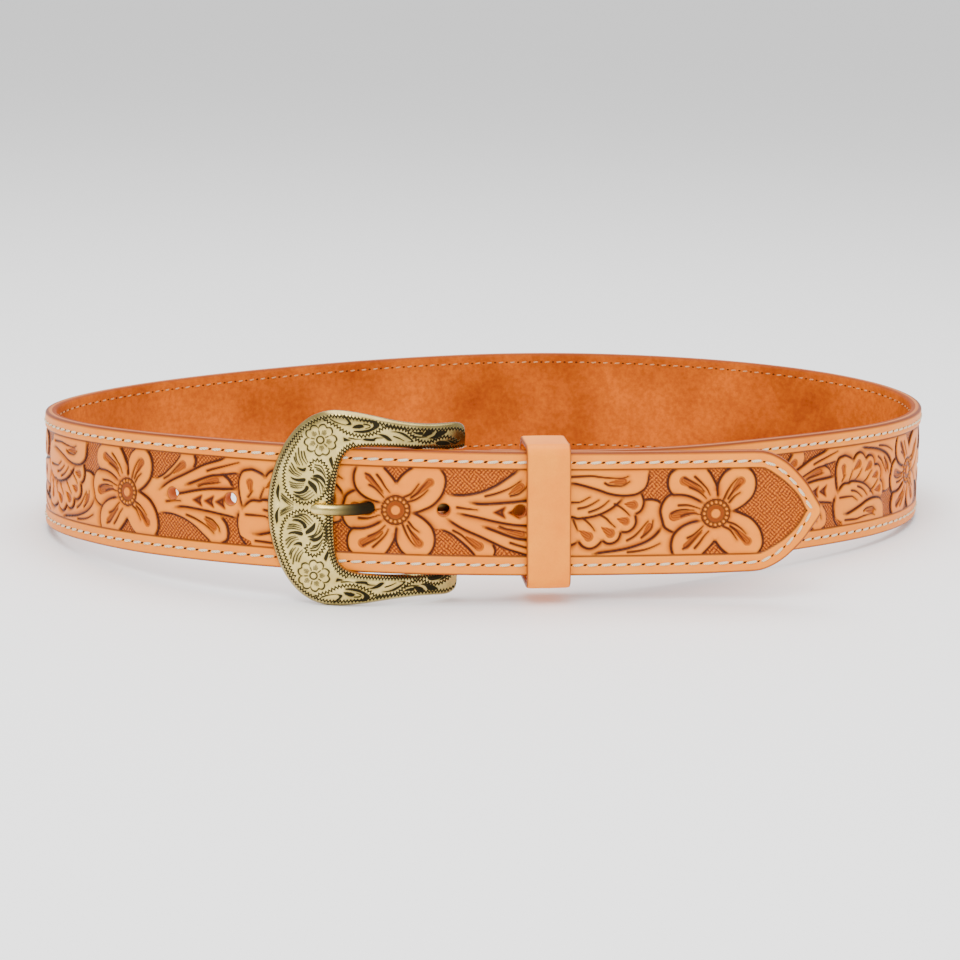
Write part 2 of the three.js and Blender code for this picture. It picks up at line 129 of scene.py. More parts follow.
def used_hole():
    """Length at which the used hole lies: the heel reach short of where the path passes its own start."""
    away = np.hypot(*(PATH_P[:, :2] - PATH_P[0, :2]).T)
    away[PATH_S < 0.7 * PATH_S[-1]] = 1e9
    return PATH_S[np.argmin(away)] - HEEL_REACH


HOLE_S = used_hole()
TIP_S = HOLE_S + TIP_PAST_HOLE


def on_strap(s, out, up):
    """Points in millimetres: path place at s, plus out times the outward normal, plus up in height."""
    s, out, up = np.broadcast_arrays(np.asarray(s, float), out, up)
    p = np.stack([np.interp(s, PATH_S, PATH_P[:, c]) for c in range(3)], -1)
    tx = np.interp(s, PATH_S, PATH_T[:, 0])
    ty = np.interp(s, PATH_S, PATH_T[:, 1])
    size = np.hypot(tx, ty)
    p[..., 0] += out * ty / size
    p[..., 1] -= out * tx / size
    p[..., 2] += up
    return p


def local_frame(s):
    """Place at s, and the unit along, out and up directions there as the rows of a turn."""
    tx, ty = np.interp(s, PATH_S, PATH_T[:, 0]), np.interp(s, PATH_S, PATH_T[:, 1])
    size = math.hypot(tx, ty)
    turn = np.array([[tx / size, ty / size, 0], [ty / size, -tx / size, 0], [0, 0, 1]])
    return on_strap(s, 0.0, 0.0), turn


def half_width(s):
    """Half the strap's width at s: narrower over the fold, full along the belt, drawn in at the tip."""
    widen = np.clip((s - WIDEN_FROM) / WIDEN_OVER, 0, 1)
    body = FOLD_HALF + (HALF - FOLD_HALF) * widen
    return np.minimum(body, hermite(TIP[:, 0], TIP[:, 1], TIP_S - s))


def hermite(x, y, at):
    """Smooth curve through the points (x, y), with each slope the mean of its two neighbours' slopes."""
    chord = np.diff(y) / np.diff(x)
    slope = np.concatenate([[chord[0]], (chord[1:] + chord[:-1]) / 2, [chord[-1]]])
    at = np.clip(at, x[0], x[-1])
    i = np.clip(np.searchsorted(x, at) - 1, 0, len(x) - 2)
    w = x[i + 1] - x[i]
    t = (at - x[i]) / w
    return (y[i] * (2 * t ** 3 - 3 * t ** 2 + 1) + y[i + 1] * (3 * t ** 2 - 2 * t ** 3)
            + slope[i] * w * (t ** 3 - 2 * t ** 2 + t) + slope[i + 1] * w * (t ** 3 - t ** 2))


def low_drop(s):
    """How far the front run's lower edge is cut below the even width."""
    return 0.45 * soft_step(815, 860, s) * (1 - soft_step(TIP_S - 45, TIP_S - 20, s))


def soft_step(low, high, value):
    """0 below low, 1 above high and a smooth rise between."""
    t = np.clip((value - low) / (high - low), 0, 1)
    return t * t * (3 - 2 * t)


# Meshes

def make(name, points, faces, material, uv=None, values=None):
    """A named smooth mesh from points in millimetres and a list of face tables, one for each face size."""
    mesh = bpy.data.meshes.new(name)
    points = np.asarray(points, float).reshape(-1, 3) * MM
    mesh.vertices.add(len(points))
    mesh.vertices.foreach_set("co", points.ravel())
    corners = np.concatenate([f.ravel() for f in faces])
    sizes = np.concatenate([np.full(len(f), f.shape[1]) for f in faces])
    mesh.loops.add(len(corners))
    mesh.loops.foreach_set("vertex_index", corners)
    mesh.polygons.add(len(sizes))
    mesh.polygons.foreach_set("loop_start", np.concatenate([[0], np.cumsum(sizes)[:-1]]))
    mesh.polygons.foreach_set("use_smooth", np.ones(len(sizes), bool))
    mesh.update(calc_edges=True)
    if uv is not None:
        layer = mesh.uv_layers.new(name="millimetres")
        layer.data.foreach_set("uv", np.asarray(uv, float).reshape(-1, 2)[corners].ravel())
    for key, value in (values or {}).items():
        layer = mesh.attributes.new(key, "FLOAT", "POINT")
        layer.data.foreach_set("value", np.asarray(value, float).ravel())
    mesh.materials.append(material)
    piece = bpy.data.objects.new(name, mesh)
    bpy.context.scene.collection.objects.link(piece)
    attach(piece, "root")
    return piece


def grid_quads(rows, columns, wrap_rows=False, wrap_columns=False, flip=False):
    """Quads of a rows by columns grid of points, closed on itself where asked."""
    i = np.arange(rows if wrap_rows else rows - 1)[:, None]
    j = np.arange(columns if wrap_columns else columns - 1)[None, :]
    a = i * columns + j
    b = i * columns + (j + 1) % columns
    c = (i + 1) % rows * columns + (j + 1) % columns
    d = (i + 1) % rows * columns + j
    quads = np.stack([a, b, c, d], -1).reshape(-1, 4)
    return quads[:, ::-1] if flip else quads


def thick_sheet(front, back, keep):
    """Points and quads of a closed sheet: kept cells of a front and a back grid, and walls round the edges."""
    rows, columns = front.shape[:2]
    count = rows * columns
    index = np.arange(count).reshape(rows, columns)
    cells = np.stack([index[:-1, :-1], index[:-1, 1:], index[1:, 1:], index[1:, :-1]], -1)
    quads = [cells[keep], cells[keep][:, ::-1] + count]
    padded = np.pad(keep, 1)
    beside = [padded[:-2, 1:-1], padded[1:-1, 2:], padded[2:, 1:-1], padded[1:-1, :-2]]
    for k in range(4):
        open_edge = keep & ~beside[k]
        a = cells[..., k][open_edge]
        b = cells[..., (k + 1) % 4][open_edge]
        quads.append(np.stack([b, a, a + count, b + count], -1))
    return np.concatenate([front.reshape(-1, 3), back.reshape(-1, 3)]), np.concatenate(quads)


# Tooling pattern. A unit is one flower, the stems that fan out from it, and a wing of petals.
# Places are x from the flower's middle and h up the strap.
# Outlines: side on which the leather is bevelled down (1 left, -1 right of the line's run), then the points.
FLOWER_OUTLINES = [
    (1, [(-4.5, 25.7), (-7.5, 27.4), (-9.9, 28.4), (-12.3, 28.9), (-14.3, 29), (-15.9, 29.1),
         (-17.1, 30.6), (-17.7, 32.4), (-17.7, 34.6), (-17.1, 36.4), (-15.9, 37.6), (-14.3, 38.3)]),
    (1, [(-4.1, 38.1), (-3.1, 37.2), (-2.1, 35.8), (-1.1, 34), (-0.3, 32.4), (0.1, 31.2), (0.4, 27.6)]),
    (1, [(0.4, 29.6), (0.4, 31.4), (0.6, 33), (1.3, 34.8), (2.5, 36.6), (4.1, 37.8), (5.3, 38.3)]),
    (1, [(10.5, 38.2), (12.1, 37.4), (13.3, 35.8), (14, 33.8), (14.1, 31.4), (13.5, 29), (12.5, 27.2),
         (10.5, 25.2), (8.5, 23.8), (6.9, 23), (5.5, 22.6)]),
    (-1, [(-15, 29.1), (-16.3, 28.9), (-17.9, 28), (-19.1, 26.4), (-19.8, 24.6), (-20, 22.5),
         (-19.3, 19.8), (-18.5, 17.4), (-17.1, 16.2), (-15.5, 15.4), (-14.2, 15)]),
    (-1, [(-5.3, 19.1), (-7.9, 18.7), (-10.3, 17.9), (-12.3, 16.8), (-13.9, 15.4), (-15, 13.8),
         (-15.6, 11.6), (-15.6, 9.4), (-15, 7.4), (-14.3, 6.4)]),
    (-1, [(-4.9, 6.4), (-3.1, 8.2), (-1.3, 10.2), (0.1, 12.1)]),
    (-1, [(0.1, 12.1), (1.7, 9.8), (3.7, 7.8), (6.1, 6.2)]),
    (-1, [(15.1, 6.4), (16.5, 7.8), (17.3, 9.4), (17.5, 11.4), (17, 13.8), (16.1, 16), (14.5, 18.2),
         (12.5, 20), (10.1, 21.2), (7.7, 22.2), (5.7, 22.5)]),
]
FLOWER_CUTS = [
    [(-8.1, 35.4), (-5.5, 33), (-3.5, 30.8), (-2.4, 28.6)],
    [(-11.9, 35), (-9.1, 33.6), (-6.3, 32), (-4.5, 30)],
    [(-9.9, 31.6), (-7.5, 30.5), (-5.5, 29.2), (-3.7, 27.4)],
    [(2.7, 27), (4.1, 30.2), (5.7, 32.8), (7.3, 34.6)],
    [(4.3, 27.2), (5.5, 29.2), (7.1, 31.2), (8.5, 32.4)], [(4.7, 25.8), (6.5, 28), (8.5, 29.4)],
    [(-13.6, 25), (-10.3, 25), (-7.9, 24.4), (-5.6, 23.6)],
    [(-16.1, 22), (-14.3, 23), (-11.5, 23.4), (-7.9, 23.1)],
    [(-12.5, 20.9), (-10.7, 21.7), (-7.9, 21.9), (-5.5, 21.5)],
    [(-9.9, 13), (-7.9, 14), (-5.9, 15.8), (-4.3, 17.4)],
    [(-11.3, 9), (-9.5, 10), (-7.5, 12.2), (-4.9, 15)],
    [(-7.1, 9.2), (-5.5, 11.2), (-3.9, 13.6), (-2.3, 15.4)],
    [(4.5, 18.6), (6.9, 17.8), (9.3, 16.2), (11.3, 14.2)],
    [(5.5, 17), (7.7, 15.4), (9.3, 13.4), (11.1, 11.2)], [(2.9, 17), (5.3, 15.8), (6.9, 13.8), (8.1, 12)],
]
# Dents, deep and round at one end and drawn to a point. Columns: x, h, radius, x and h of the point
FLOWER_DENTS = [
    (-12, 34, 1.9, -4.6, 29.5), (8.6, 33.6, 1.8, 4.8, 28.2), (-15.2, 21.2, 2.2, -7, 22.4),
    (-10.3, 10, 1.5, -4.6, 16), (11.9, 11.4, 1.8, 5.2, 17.6),
]
# Stamped background between the leaves, as polygons
FLOWER_GROUND = [
    [(-4.1, 38.4), (-3.1, 37.2), (-2.1, 35.8), (-1.1, 34), (-0.3, 32.4), (0.1, 31.2), (0.4, 31.2),
     (0.6, 33), (1.3, 34.8), (2.5, 36.6), (4.1, 37.8), (5.3, 38.4)],
    [(-4.9, 6.3), (-3.1, 8.2), (-1.3, 10.2), (0.1, 12.1), (1.7, 9.8), (3.7, 7.8), (6.1, 6.3)],
]
FAN_OUTLINES = [
    (1, [(16.4, 28.2), (20, 29.8), (23.2, 32.2), (26, 34.6), (28.2, 37), (29, 38.3)]),
    (1, [(35.1, 38.3), (35.8, 35.8), (34.8, 33.4)]),
    (1, [(18.4, 24.2), (21.2, 26.2), (24.8, 28.2), (30, 30.4), (34.8, 32.6), (39.6, 34.8), (44, 36.2),
         (47.2, 37.2), (49.7, 38.3)]),
    (-1, [(31.2, 27.1), (35.6, 28.7), (39.6, 30.2), (43.6, 31.4), (47.8, 31.9), (53.6, 32.8),
         (55, 32.1)]),
    (1, [(47.4, 32.1), (50.6, 30.1), (52.1, 27.8)]),
    (1, [(22.2, 22.2), (26, 23), (30, 23.8), (34.8, 24.9), (39.6, 25.8), (43.6, 26.3), (47.6, 26.5),
         (54.5, 27)]),
    (-1, [(26.4, 18.5), (30, 19), (34.8, 18.8), (39.6, 18.4), (43.6, 18), (52.1, 16.9), (54.5, 16.2)]),
    (-1, [(19, 15.8), (23.6, 15.9), (27.2, 15.4), (31.2, 14.3), (35.6, 12.2), (39.6, 9.4), (43.6, 6.5)]),
    (-1, [(46.6, 6.4), (49.7, 8), (50.5, 10.1), (50.2, 12.4), (49.3, 14.4), (47.4, 16.4)]),
]
FAN_CUTS = [
    [(20.6, 28.6), (23.6, 30.2), (26.4, 32.8), (28.8, 35)],
    [(41.2, 32.8), (43.6, 33.6), (47.6, 34.7), (55, 36.8)],
    [(37.2, 26.9), (39.6, 27.8), (42, 28.2), (47, 29)], [(21.8, 20.2), (24.8, 20.6), (29, 21)],
    [(31.8, 16), (35.6, 15), (39.6, 13.4), (42, 12), (44.4, 10.2)],
    [(40.8, 15.8), (43.5, 15.1), (45.4, 13.7), (46.6, 12.4), (47, 11)],
]
FAN_DENTS = [
    (30, 34.2, 1.9, 25.2, 30.6), (45.2, 29.6, 1.7, 36.5, 27.4), (44.2, 12.6, 1.9, 40, 15.2),
]
FAN_GROUND = [
    [(10.5, 38.4), (12.1, 37.4), (13.3, 35.8), (14, 33.8), (14.1, 31.4), (13.6, 29), (13, 27.8),
     (16.4, 28.2), (20, 29.8), (23.2, 32.2), (26, 34.6), (28.2, 37), (29, 38.4)],
    [(35.1, 38.4), (35.8, 36.4), (35.4, 33.2), (39.6, 34.8), (44, 36.2), (47.2, 37.2), (49.7, 38.4)],
    [(15.1, 6.3), (16.5, 7.8), (17.3, 9.4), (17.5, 11.4), (17, 13.8), (16.4, 15.6), (20, 15.9),
     (23.6, 15.9), (27.2, 15.4), (31.2, 14.3), (35.6, 12.2), (39.6, 9.4), (43.8, 6.3)],
    [(47.8, 32.1), (50.6, 30.1), (52.3, 27), (54.4, 27.1), (54.2, 30), (55, 32.4), (53.6, 32.9)],
    [(46.6, 6.3), (49.7, 8), (50.5, 10.1), (50.2, 12.4), (49.3, 14.4), (48, 16.6), (54.3, 16.1),
     (54.4, 13), (55.6, 10.6), (58, 9.4), (60.2, 8.6), (60.8, 6.3)],
]
# Arrow shaped stamps along the middle of the fan. Columns: x of the point, half height
FAN_ARROWS = [(35, 1.9), (40.3, 2), (45.2, 2.1)]
WING_OUTLINES = [
    (1, [(55.2, 25.6), (54.5, 29), (55, 32.6), (56.4, 35.8), (58.9, 38.2)]),
    (-1, [(61.2, 33.3), (63.6, 33.4), (66.8, 32.7), (70, 31.8), (73.2, 30.8), (76, 29.8), (79.2, 29.1),
         (82.4, 28.9), (85.6, 29.2), (87.6, 30), (89.4, 31.4), (90.3, 33.4), (90.6, 35.8), (90.7, 38.3)]),
    (-1, [(56.7, 24.2), (58.9, 22.1), (60.7, 21.2), (63.6, 21.2), (65.2, 20.7), (68, 20.9), (71.2, 21.5),
         (74, 22.4), (76.4, 23.6), (78.2, 24.8), (80, 26.4), (81.6, 28)]),
    (1, [(88, 29.8), (88.6, 28.4), (89.1, 26.6), (88.8, 24.6), (87.8, 23), (86, 22)]),
    (1, [(86, 22), (86.4, 20.2), (86.4, 18.6), (85.6, 17), (84, 15.8), (82.4, 15.6), (81, 15.8)]),
    (1, [(81, 15.8), (80.8, 14.2), (80, 12.6), (78.4, 11.6), (76.4, 11.5), (74.4, 12.8)]),
    (1, [(74.4, 12.8), (73.6, 11.6), (72, 10.2), (70, 9.6), (68, 10.2), (66.8, 11.2), (65.8, 12.6)]),
    (1, [(65.8, 12.6), (64.2, 11.4), (60.7, 10.1), (58.9, 10.2), (56.4, 11), (55, 14), (55, 17.1),
         (55.7, 20.8), (56.7, 24.2)]),
    (1, [(89.2, 27), (92, 27.2), (94.4, 26.6), (95.4, 25.6)]),
    (1, [(71.2, 7.4), (75.2, 8), (79.2, 8.5), (83.2, 9.2), (86.8, 10.2), (90.4, 11.6), (93.2, 13.4),
         (95.2, 15.6), (96, 17.4)]),
]
WING_CUTS = [
    [(62.1, 35.7), (66.6, 35.9), (70, 36), (74, 35.5), (78, 35.2), (81.6, 35.3), (83.2, 35.9)],
    [(74.8, 33.4), (76.4, 32.6), (79.2, 32.4), (81.6, 32.5), (83.8, 34)],
    [(58, 26.4), (63.6, 26.4), (66, 26.6), (68, 27.6), (69.6, 28.5)],
    [(65.4, 24.2), (68, 24.7), (70.4, 25.8), (72.8, 27.4)],
    [(69.4, 22.9), (72, 23.8), (74.4, 25.2), (76.6, 27.2)],
    [(78.6, 25.8), (80.8, 24.6), (82.8, 23), (84.2, 21.6)],
    [(73.6, 21.8), (75.6, 20.6), (77.2, 19), (79, 17.4)],
    [(67, 20.8), (68.8, 19.4), (70.4, 17.8), (71.6, 16.2)], [(63.8, 20), (64.6, 18), (65.4, 16.2)],
    [(58.9, 19.9), (60.7, 17.6)],
    [(83.6, 12.4), (86, 13.8), (88, 15.8), (89.6, 17.8), (91, 19.4)],
    [(88.8, 13.4), (90.8, 15), (92.4, 17), (92.8, 19.8)],
    [(84, 8.1), (87.2, 8.4), (90.4, 9), (93.2, 10), (95.6, 11.2)],
]
WING_DENTS = [
    (81.6, 34, 1.5, 76, 33.6), (85.4, 25.4, 1.9, 82, 25.8), (82.7, 19.5, 1.8, 79.6, 20.4),
    (77.3, 15.2, 2, 74, 17.4), (69.4, 14, 2, 66, 16.2), (59.5, 14.6, 1.7, 60, 19),
    (91.6, 17.6, 1.4, 88.6, 12.8),
]
WING_GROUND = [
    [(90.7, 38.4), (90.6, 35.8), (90.3, 33.4), (89.4, 31.4), (88.6, 30.2), (88.9, 28.2), (89.3, 27.1),
     (92, 27.3), (94.4, 26.8), (95.2, 26.4), (96.4, 27.4), (98.1, 28.5), (99.6, 29.1), (98.4, 30.6),
     (97.8, 32.4), (97.8, 34.6), (98.4, 36.4), (99.6, 37.6), (101.2, 38.4)],
]


SHEETS = ("depth", "cut", "ground", "shade")


class Relief:
    """Sheets of numbers over a rectangle: depth in millimetres, and cut, ground and shade from 0 to 1."""

    def __init__(self, x0, x1, y0, y1, pitch):
        """Empty sheets over x0 to x1 and y0 to y1, with cells of the given pitch."""
        self.x0, self.y0, self.pitch = x0, y0, pitch
        self.xs = np.arange(x0, x1 + pitch / 2, pitch)
        self.ys = np.arange(y0, y1 + pitch / 2, pitch)
        shape = (len(self.xs), len(self.ys))
        self.sheets = {key: np.zeros(shape, np.float32) for key in SHEETS}

    def window(self, points, margin):
        """The part of the sheets within a margin of the points, and its x and y."""
        lo = np.min(points, 0) - margin
        hi = np.max(points, 0) + margin
        i0, i1 = np.searchsorted(self.xs, [lo[0], hi[0]])
        j0, j1 = np.searchsorted(self.ys, [lo[1], hi[1]])
        part = (slice(i0, i1), slice(j0, j1))
        x, y = np.meshgrid(self.xs[part[0]], self.ys[part[1]], indexing="ij")
        return part, x, y

    def raise_to(self, key, part, value):
        """Keeps the larger of what is there and the new value."""
        sheet = self.sheets[key]
        sheet[part] = np.maximum(sheet[part], value)

    def sample(self, key, x, y):
        """Value at any place, by straight-line mixing of the four cells round it."""
        sheet = self.sheets[key]
        i = np.clip((x - self.x0) / self.pitch, 0, sheet.shape[0] - 1.001)
        j = np.clip((y - self.y0) / self.pitch, 0, sheet.shape[1] - 1.001)
        a, b = i.astype(int), j.astype(int)
        u, v = i - a, j - b
        return ((sheet[a, b] * (1 - u) + sheet[a + 1, b] * u) * (1 - v)
                + (sheet[a, b + 1] * (1 - u) + sheet[a + 1, b + 1] * u) * v)


def rounded(points, per=5):
    """The line through the points, each span bent as a Catmull-Rom curve and cut into that many steps."""
    p = np.asarray(points, float)
    if len(p) < 3:
        return p
    q = np.vstack([2 * p[0] - p[1], p, 2 * p[-1] - p[-2]])
    a, b, c, d = q[:-3, None], q[1:-2, None], q[2:-1, None], q[3:, None]
    t = np.linspace(0, 1, per, endpoint=False)[None, :, None]
    curve = (b + t * (c - a) / 2 + t ** 2 * (a - 2.5 * b + 2 * c - d / 2)
             + t ** 3 * (1.5 * (b - c) + (d - a) / 2))
    return np.vstack([curve.reshape(-1, p.shape[1]), p[-1:]])


def near_line(points, x, y):
    """Distance to an open line, which side of it (1 left), and how far along it, 0 to 1."""
    steps = np.diff(points, axis=0)
    lengths = np.hypot(*steps.T)
    starts = run_length(points)
    away = np.full(x.shape, 1e9)
    side = np.zeros(x.shape)
    share = np.zeros(x.shape)
    for (px, py), (dx, dy), size, start in zip(points, steps, lengths, starts):
        t = np.clip(((x - px) * dx + (y - py) * dy) / size ** 2, 0, 1)
        far = np.hypot(x - px - t * dx, y - py - t * dy)
        nearer = far < away
        away = np.where(nearer, far, away)
        side = np.where(nearer, dx * (y - py) - dy * (x - px), side)
        share = np.where(nearer, (start + t * size) / starts[-1], share)
    return away, np.sign(side), share


def inside(points, x, y):
    """True where (x, y) is inside the closed polygon, by counting crossings."""
    p = np.asarray(points, float)
    within = np.zeros(x.shape, bool)
    for (ax, ay), (bx, by) in zip(p, np.roll(p, -1, 0)):
        crosses = (ay > y) != (by > y)
        within ^= crosses & (x < (bx - ax) * (y - ay) / (by - ay + 1e-12) + ax)
    return within


def tool_outline(relief, low_side, points, drop=0.9, reach=1.3):
    """A knife line with the leather beside it bevelled down on one side and rounded over on the other."""
    line = rounded(points)
    part, x, y = relief.window(line, 4)
    away, side, share = near_line(line, x, y)
    low = side * low_side > 0
    ends = np.sqrt(np.clip(np.minimum(share, 1 - share) / 0.08, 0.15, 1))
    fall = np.exp(-(away / reach) ** 1.4) * ends
    relief.raise_to("depth", part, np.where(low, drop * fall, 0.4 * np.exp(-(away / 0.6) ** 2) * ends))
    relief.raise_to("cut", part, (1 - soft_step(0.2, 0.62, away - np.where(low, 0.2, 0))) * ends)
    # Painted shade falling off from the line on the bevelled side, with a narrower band on the rounded side,
    # partly the darker burnish of the bevel
    relief.raise_to("shade", part, np.where(low, 0.95 * np.exp(-(away / (reach * 1.15)) ** 2),
                                            0.5 * np.exp(-(away / 0.85) ** 2)) * ends)


def tool_cut(relief, points, width=0.44, depth=0.6):
    """A decorative knife cut, wide at its start and tapering away to its end."""
    line = rounded(points)
    part, x, y = relief.window(line, 2.5)
    away, _, share = near_line(line, x, y)
    taper = np.clip(1.15 - 0.75 * share, 0.3, 1)
    near = 1 - soft_step(width * 0.55, width * 1.5, away / taper)
    relief.raise_to("depth", part, depth * near)
    relief.raise_to("cut", part, 0.95 * near)
    relief.raise_to("shade", part, 0.55 * np.exp(-(away / 0.9) ** 2))


def tool_dent(relief, x0, y0, radius, x1, y1, depth=0.6):
    """A drop shaped hollow, round at (x0, y0) and pointed at (x1, y1), with fine marks along it."""
    line = np.array([(x0, y0), (x1, y1)], float)
    part, x, y = relief.window(line, radius + 1)
    away, side, share = near_line(line, x, y)
    size = radius * np.clip(1 - share, 0.04, 1) ** 0.7
    fill = np.clip(1 - (away / size) ** 2, 0, 1)
    marks = 0.5 + 0.5 * np.cos(2 * np.pi * side * away / 0.82)
    whole = soft_step(0, 0.4, fill)
    relief.raise_to("depth", part, depth * fill + 0.14 * marks * whole)
    relief.raise_to("shade", part, whole * (0.8 + 0.2 * marks))
    relief.raise_to("cut", part, 0.45 * whole * soft_step(0.4, 0.9, marks))


def tool_ground(relief, points, drop=0.85):
    """A stamped down patch of background with a short slope at its edge."""
    ring = np.asarray(points, float)
    part, x, y = relief.window(ring, 1)
    within = inside(ring, x, y)
    away = near_line(np.vstack([ring, ring[:1]]), x, y)[0]
    level = soft_step(-0.15, 0.35, np.where(within, away, -away))
    relief.raise_to("depth", part, drop * level)
    relief.raise_to("ground", part, level)


def tool_centre(relief):
    """A flower's middle: a ring of seeds round a brown groove and a small dome, by radius."""
    rim_radius, seed_radius, groove_radius, dome_radius, seeds = 5.3, 4.15, 3.1, 1.75, 16
    part, x, y = relief.window(np.array([(0, FLOWER_RISE)]), 9)
    r = np.hypot(x, y - FLOWER_RISE)
    turn = np.arctan2(y - FLOWER_RISE, x)
    past = r - rim_radius
    outer = np.where(past > 0, 0.6 * np.exp(-(np.maximum(past, 0) / 1.1) ** 1.5), 0)
    relief.raise_to("depth", part, outer)
    relief.raise_to("shade", part, np.where(past > 0, 0.6 * np.exp(-(past / 0.9) ** 2), 0))
    disc = r < rim_radius + 0.15
    pitch = 2 * np.pi / seeds
    off = (turn / pitch - np.round(turn / pitch)) * pitch * seed_radius
    seed = 1 - soft_step(0.3, 0.62, np.hypot(off, r - seed_radius))
    bed = soft_step(2.85, 3.15, r) * (1 - seed)
    rim = np.exp(-(past / 0.3) ** 4)
    dome = np.clip(1 - (r / dome_radius) ** 2, 0, 1)
    ring = (r > dome_radius) & (r < groove_radius)
    depth = np.maximum.reduce([0.75 * rim, 0.6 * bed, 0.5 * ring, 0.35 * (1 - np.sqrt(dome)) * (r < 1.8)])
    cut = np.maximum.reduce([rim, 0.9 * bed, 0.6 * np.exp(-((r - 1.8) / 0.22) ** 4), 0.3 * ring])
    shade = np.where(r < groove_radius, np.where(r < dome_radius, 0.12, 1), 0.1)
    for key, value in (("depth", depth), ("cut", cut), ("shade", shade)):
        relief.sheets[key][part] = np.where(disc, value, relief.sheets[key][part])
    relief.sheets["ground"][part] = np.where(disc, 0, relief.sheets["ground"][part])


def tool_arrow(relief, x0, half):
    """An arrow shaped stamp that points back toward the flower."""
    long, nock, y0 = 3.9, 3.2, FLOWER_RISE
    ring = [(x0, y0), (x0 + long, y0 + half), (x0 + nock, y0 + 0.2), (x0 + nock, y0 - 0.2),
            (x0 + long, y0 - half)]
    part, x, y = relief.window(np.array(ring), 1)
    away = near_line(np.array(ring + ring[:1]), x, y)[0]
    away = np.where(inside(ring, x, y), away, -away)
    level = soft_step(-0.3, 0.2, away)
    relief.raise_to("depth", part, 0.6 * level)
    relief.raise_to("cut", part, level * (0.95 - 0.5 * soft_step(0.5, 0.9, away)))
    relief.raise_to("shade", part, soft_step(-1, 0, away))


def box_blur(sheet, cells, axis):
    """Mean over a run of cells along one axis, from differences of the running sum."""
    margin = [(cells + 1, cells) if a == axis else (0, 0) for a in (0, 1)]
    sums = np.cumsum(np.pad(sheet, margin, "edge"), axis)
    high = np.take(sums, np.arange(2 * cells + 1, sums.shape[axis]), axis)
    low = np.take(sums, np.arange(0, sums.shape[axis] - 2 * cells - 1), axis)
    return (high - low) / (2 * cells + 1)


def shade_and_stain_hollows(relief):
    """Painted shade in the hollows, partly antique finish that gathers there: shade where the leather lies
    deeper than its mean for 2 mm round.
    """
    depth = relief.sheets["depth"].astype(float)
    mean = depth
    for _ in range(2):
        mean = box_blur(box_blur(mean, 12, 0), 12, 1)
    hollow = np.clip((depth - mean - 0.03) / 0.35, 0, 1) * 0.75
    relief.sheets["shade"] = np.maximum(relief.sheets["shade"], hollow)


def upside_down(points):
    """The points turned over about the middle of the strap's width."""
    return [(x, WIDTH - h) for x, h in points]


def tool_unit(relief, with_stems=True):
    """The flower, and where asked its fan and the upside-down wing that follows."""
    outlines, cuts = list(FLOWER_OUTLINES), list(FLOWER_CUTS)
    dents, ground = list(FLOWER_DENTS), list(FLOWER_GROUND)
    if with_stems:
        outlines += FAN_OUTLINES + [(-side, upside_down(points)) for side, points in WING_OUTLINES]
        cuts += FAN_CUTS + [upside_down(points) for points in WING_CUTS]
        dents += FAN_DENTS + [(x, WIDTH - y, r, px, WIDTH - py) for x, y, r, px, py in WING_DENTS]
        ground += FAN_GROUND + [upside_down(points) for points in WING_GROUND]
        for x0, half in FAN_ARROWS:
            tool_arrow(relief, x0, half)
    for points in ground:
        tool_ground(relief, points)
    for side, points in outlines:
        tool_outline(relief, side, points)
    for points in cuts:
        tool_cut(relief, points)
    for dent in dents:
        tool_dent(relief, *dent)
    tool_centre(relief)


def tool_double():
    """Two units in a row, the second one upside down, as a sheet that repeats every two units."""
    unit = Relief(-24, 106, 0, WIDTH, TOOL_PITCH)
    tool_unit(unit)
    shade_and_stain_hollows(unit)
    double = Relief(0, 2 * UNIT, 0, WIDTH, TOOL_PITCH)
    count = int(round(2 * UNIT / TOOL_PITCH))
    for shift, turned in ((0, False), (UNIT, True)):
        at = (np.arange(len(unit.xs)) + int(round((unit.x0 + shift) / TOOL_PITCH))) % count
        for key, sheet in double.sheets.items():
            layer = unit.sheets[key][:, ::-1] if turned else unit.sheets[key]
            sheet[at] = np.maximum(sheet[at], layer)
    for sheet in double.sheets.values():
        sheet[-1] = sheet[0]
    return double


def tool_end():
    """The last flower alone, with everything past it stamped down as background."""
    end = Relief(-24, 46, 0, WIDTH, TOOL_PITCH)
    tool_unit(end, with_stems=False)
    comb, high_petal, low_petal = (FLOWER_OUTLINES[k][1] for k in (2, 3, 8))
    ring = [(0.4, 27.6), *comb[1:6], (5.3, 40), (10.5, 40), *high_petal, *low_petal[-2::-1],
            (15.1, 4), (-6, 4), (-6, 27)]
    x, y = np.meshgrid(end.xs, end.ys, indexing="ij")
    edge = near_line(np.array(ring + ring[:1]), x, y)[0]
    away = np.where(inside(ring, x, y), edge, -edge)
    level = soft_step(-0.15, 0.35, -away) * (x > 0.4)
    end.sheets["ground"] = np.maximum(end.sheets["ground"], level)
    end.sheets["depth"] = np.maximum(end.sheets["depth"], 0.85 * level)
    return end


DOUBLE = tool_double()
END = tool_end()
# Length at which each flower's middle lies; neighbours are upside down to each other
FLOWERS_S = np.array([118.8, 234.5, 356, 478.8, 601.7, 724.6, HOLE_S - 101.5, HOLE_S + 8, HOLE_S + 123.5])


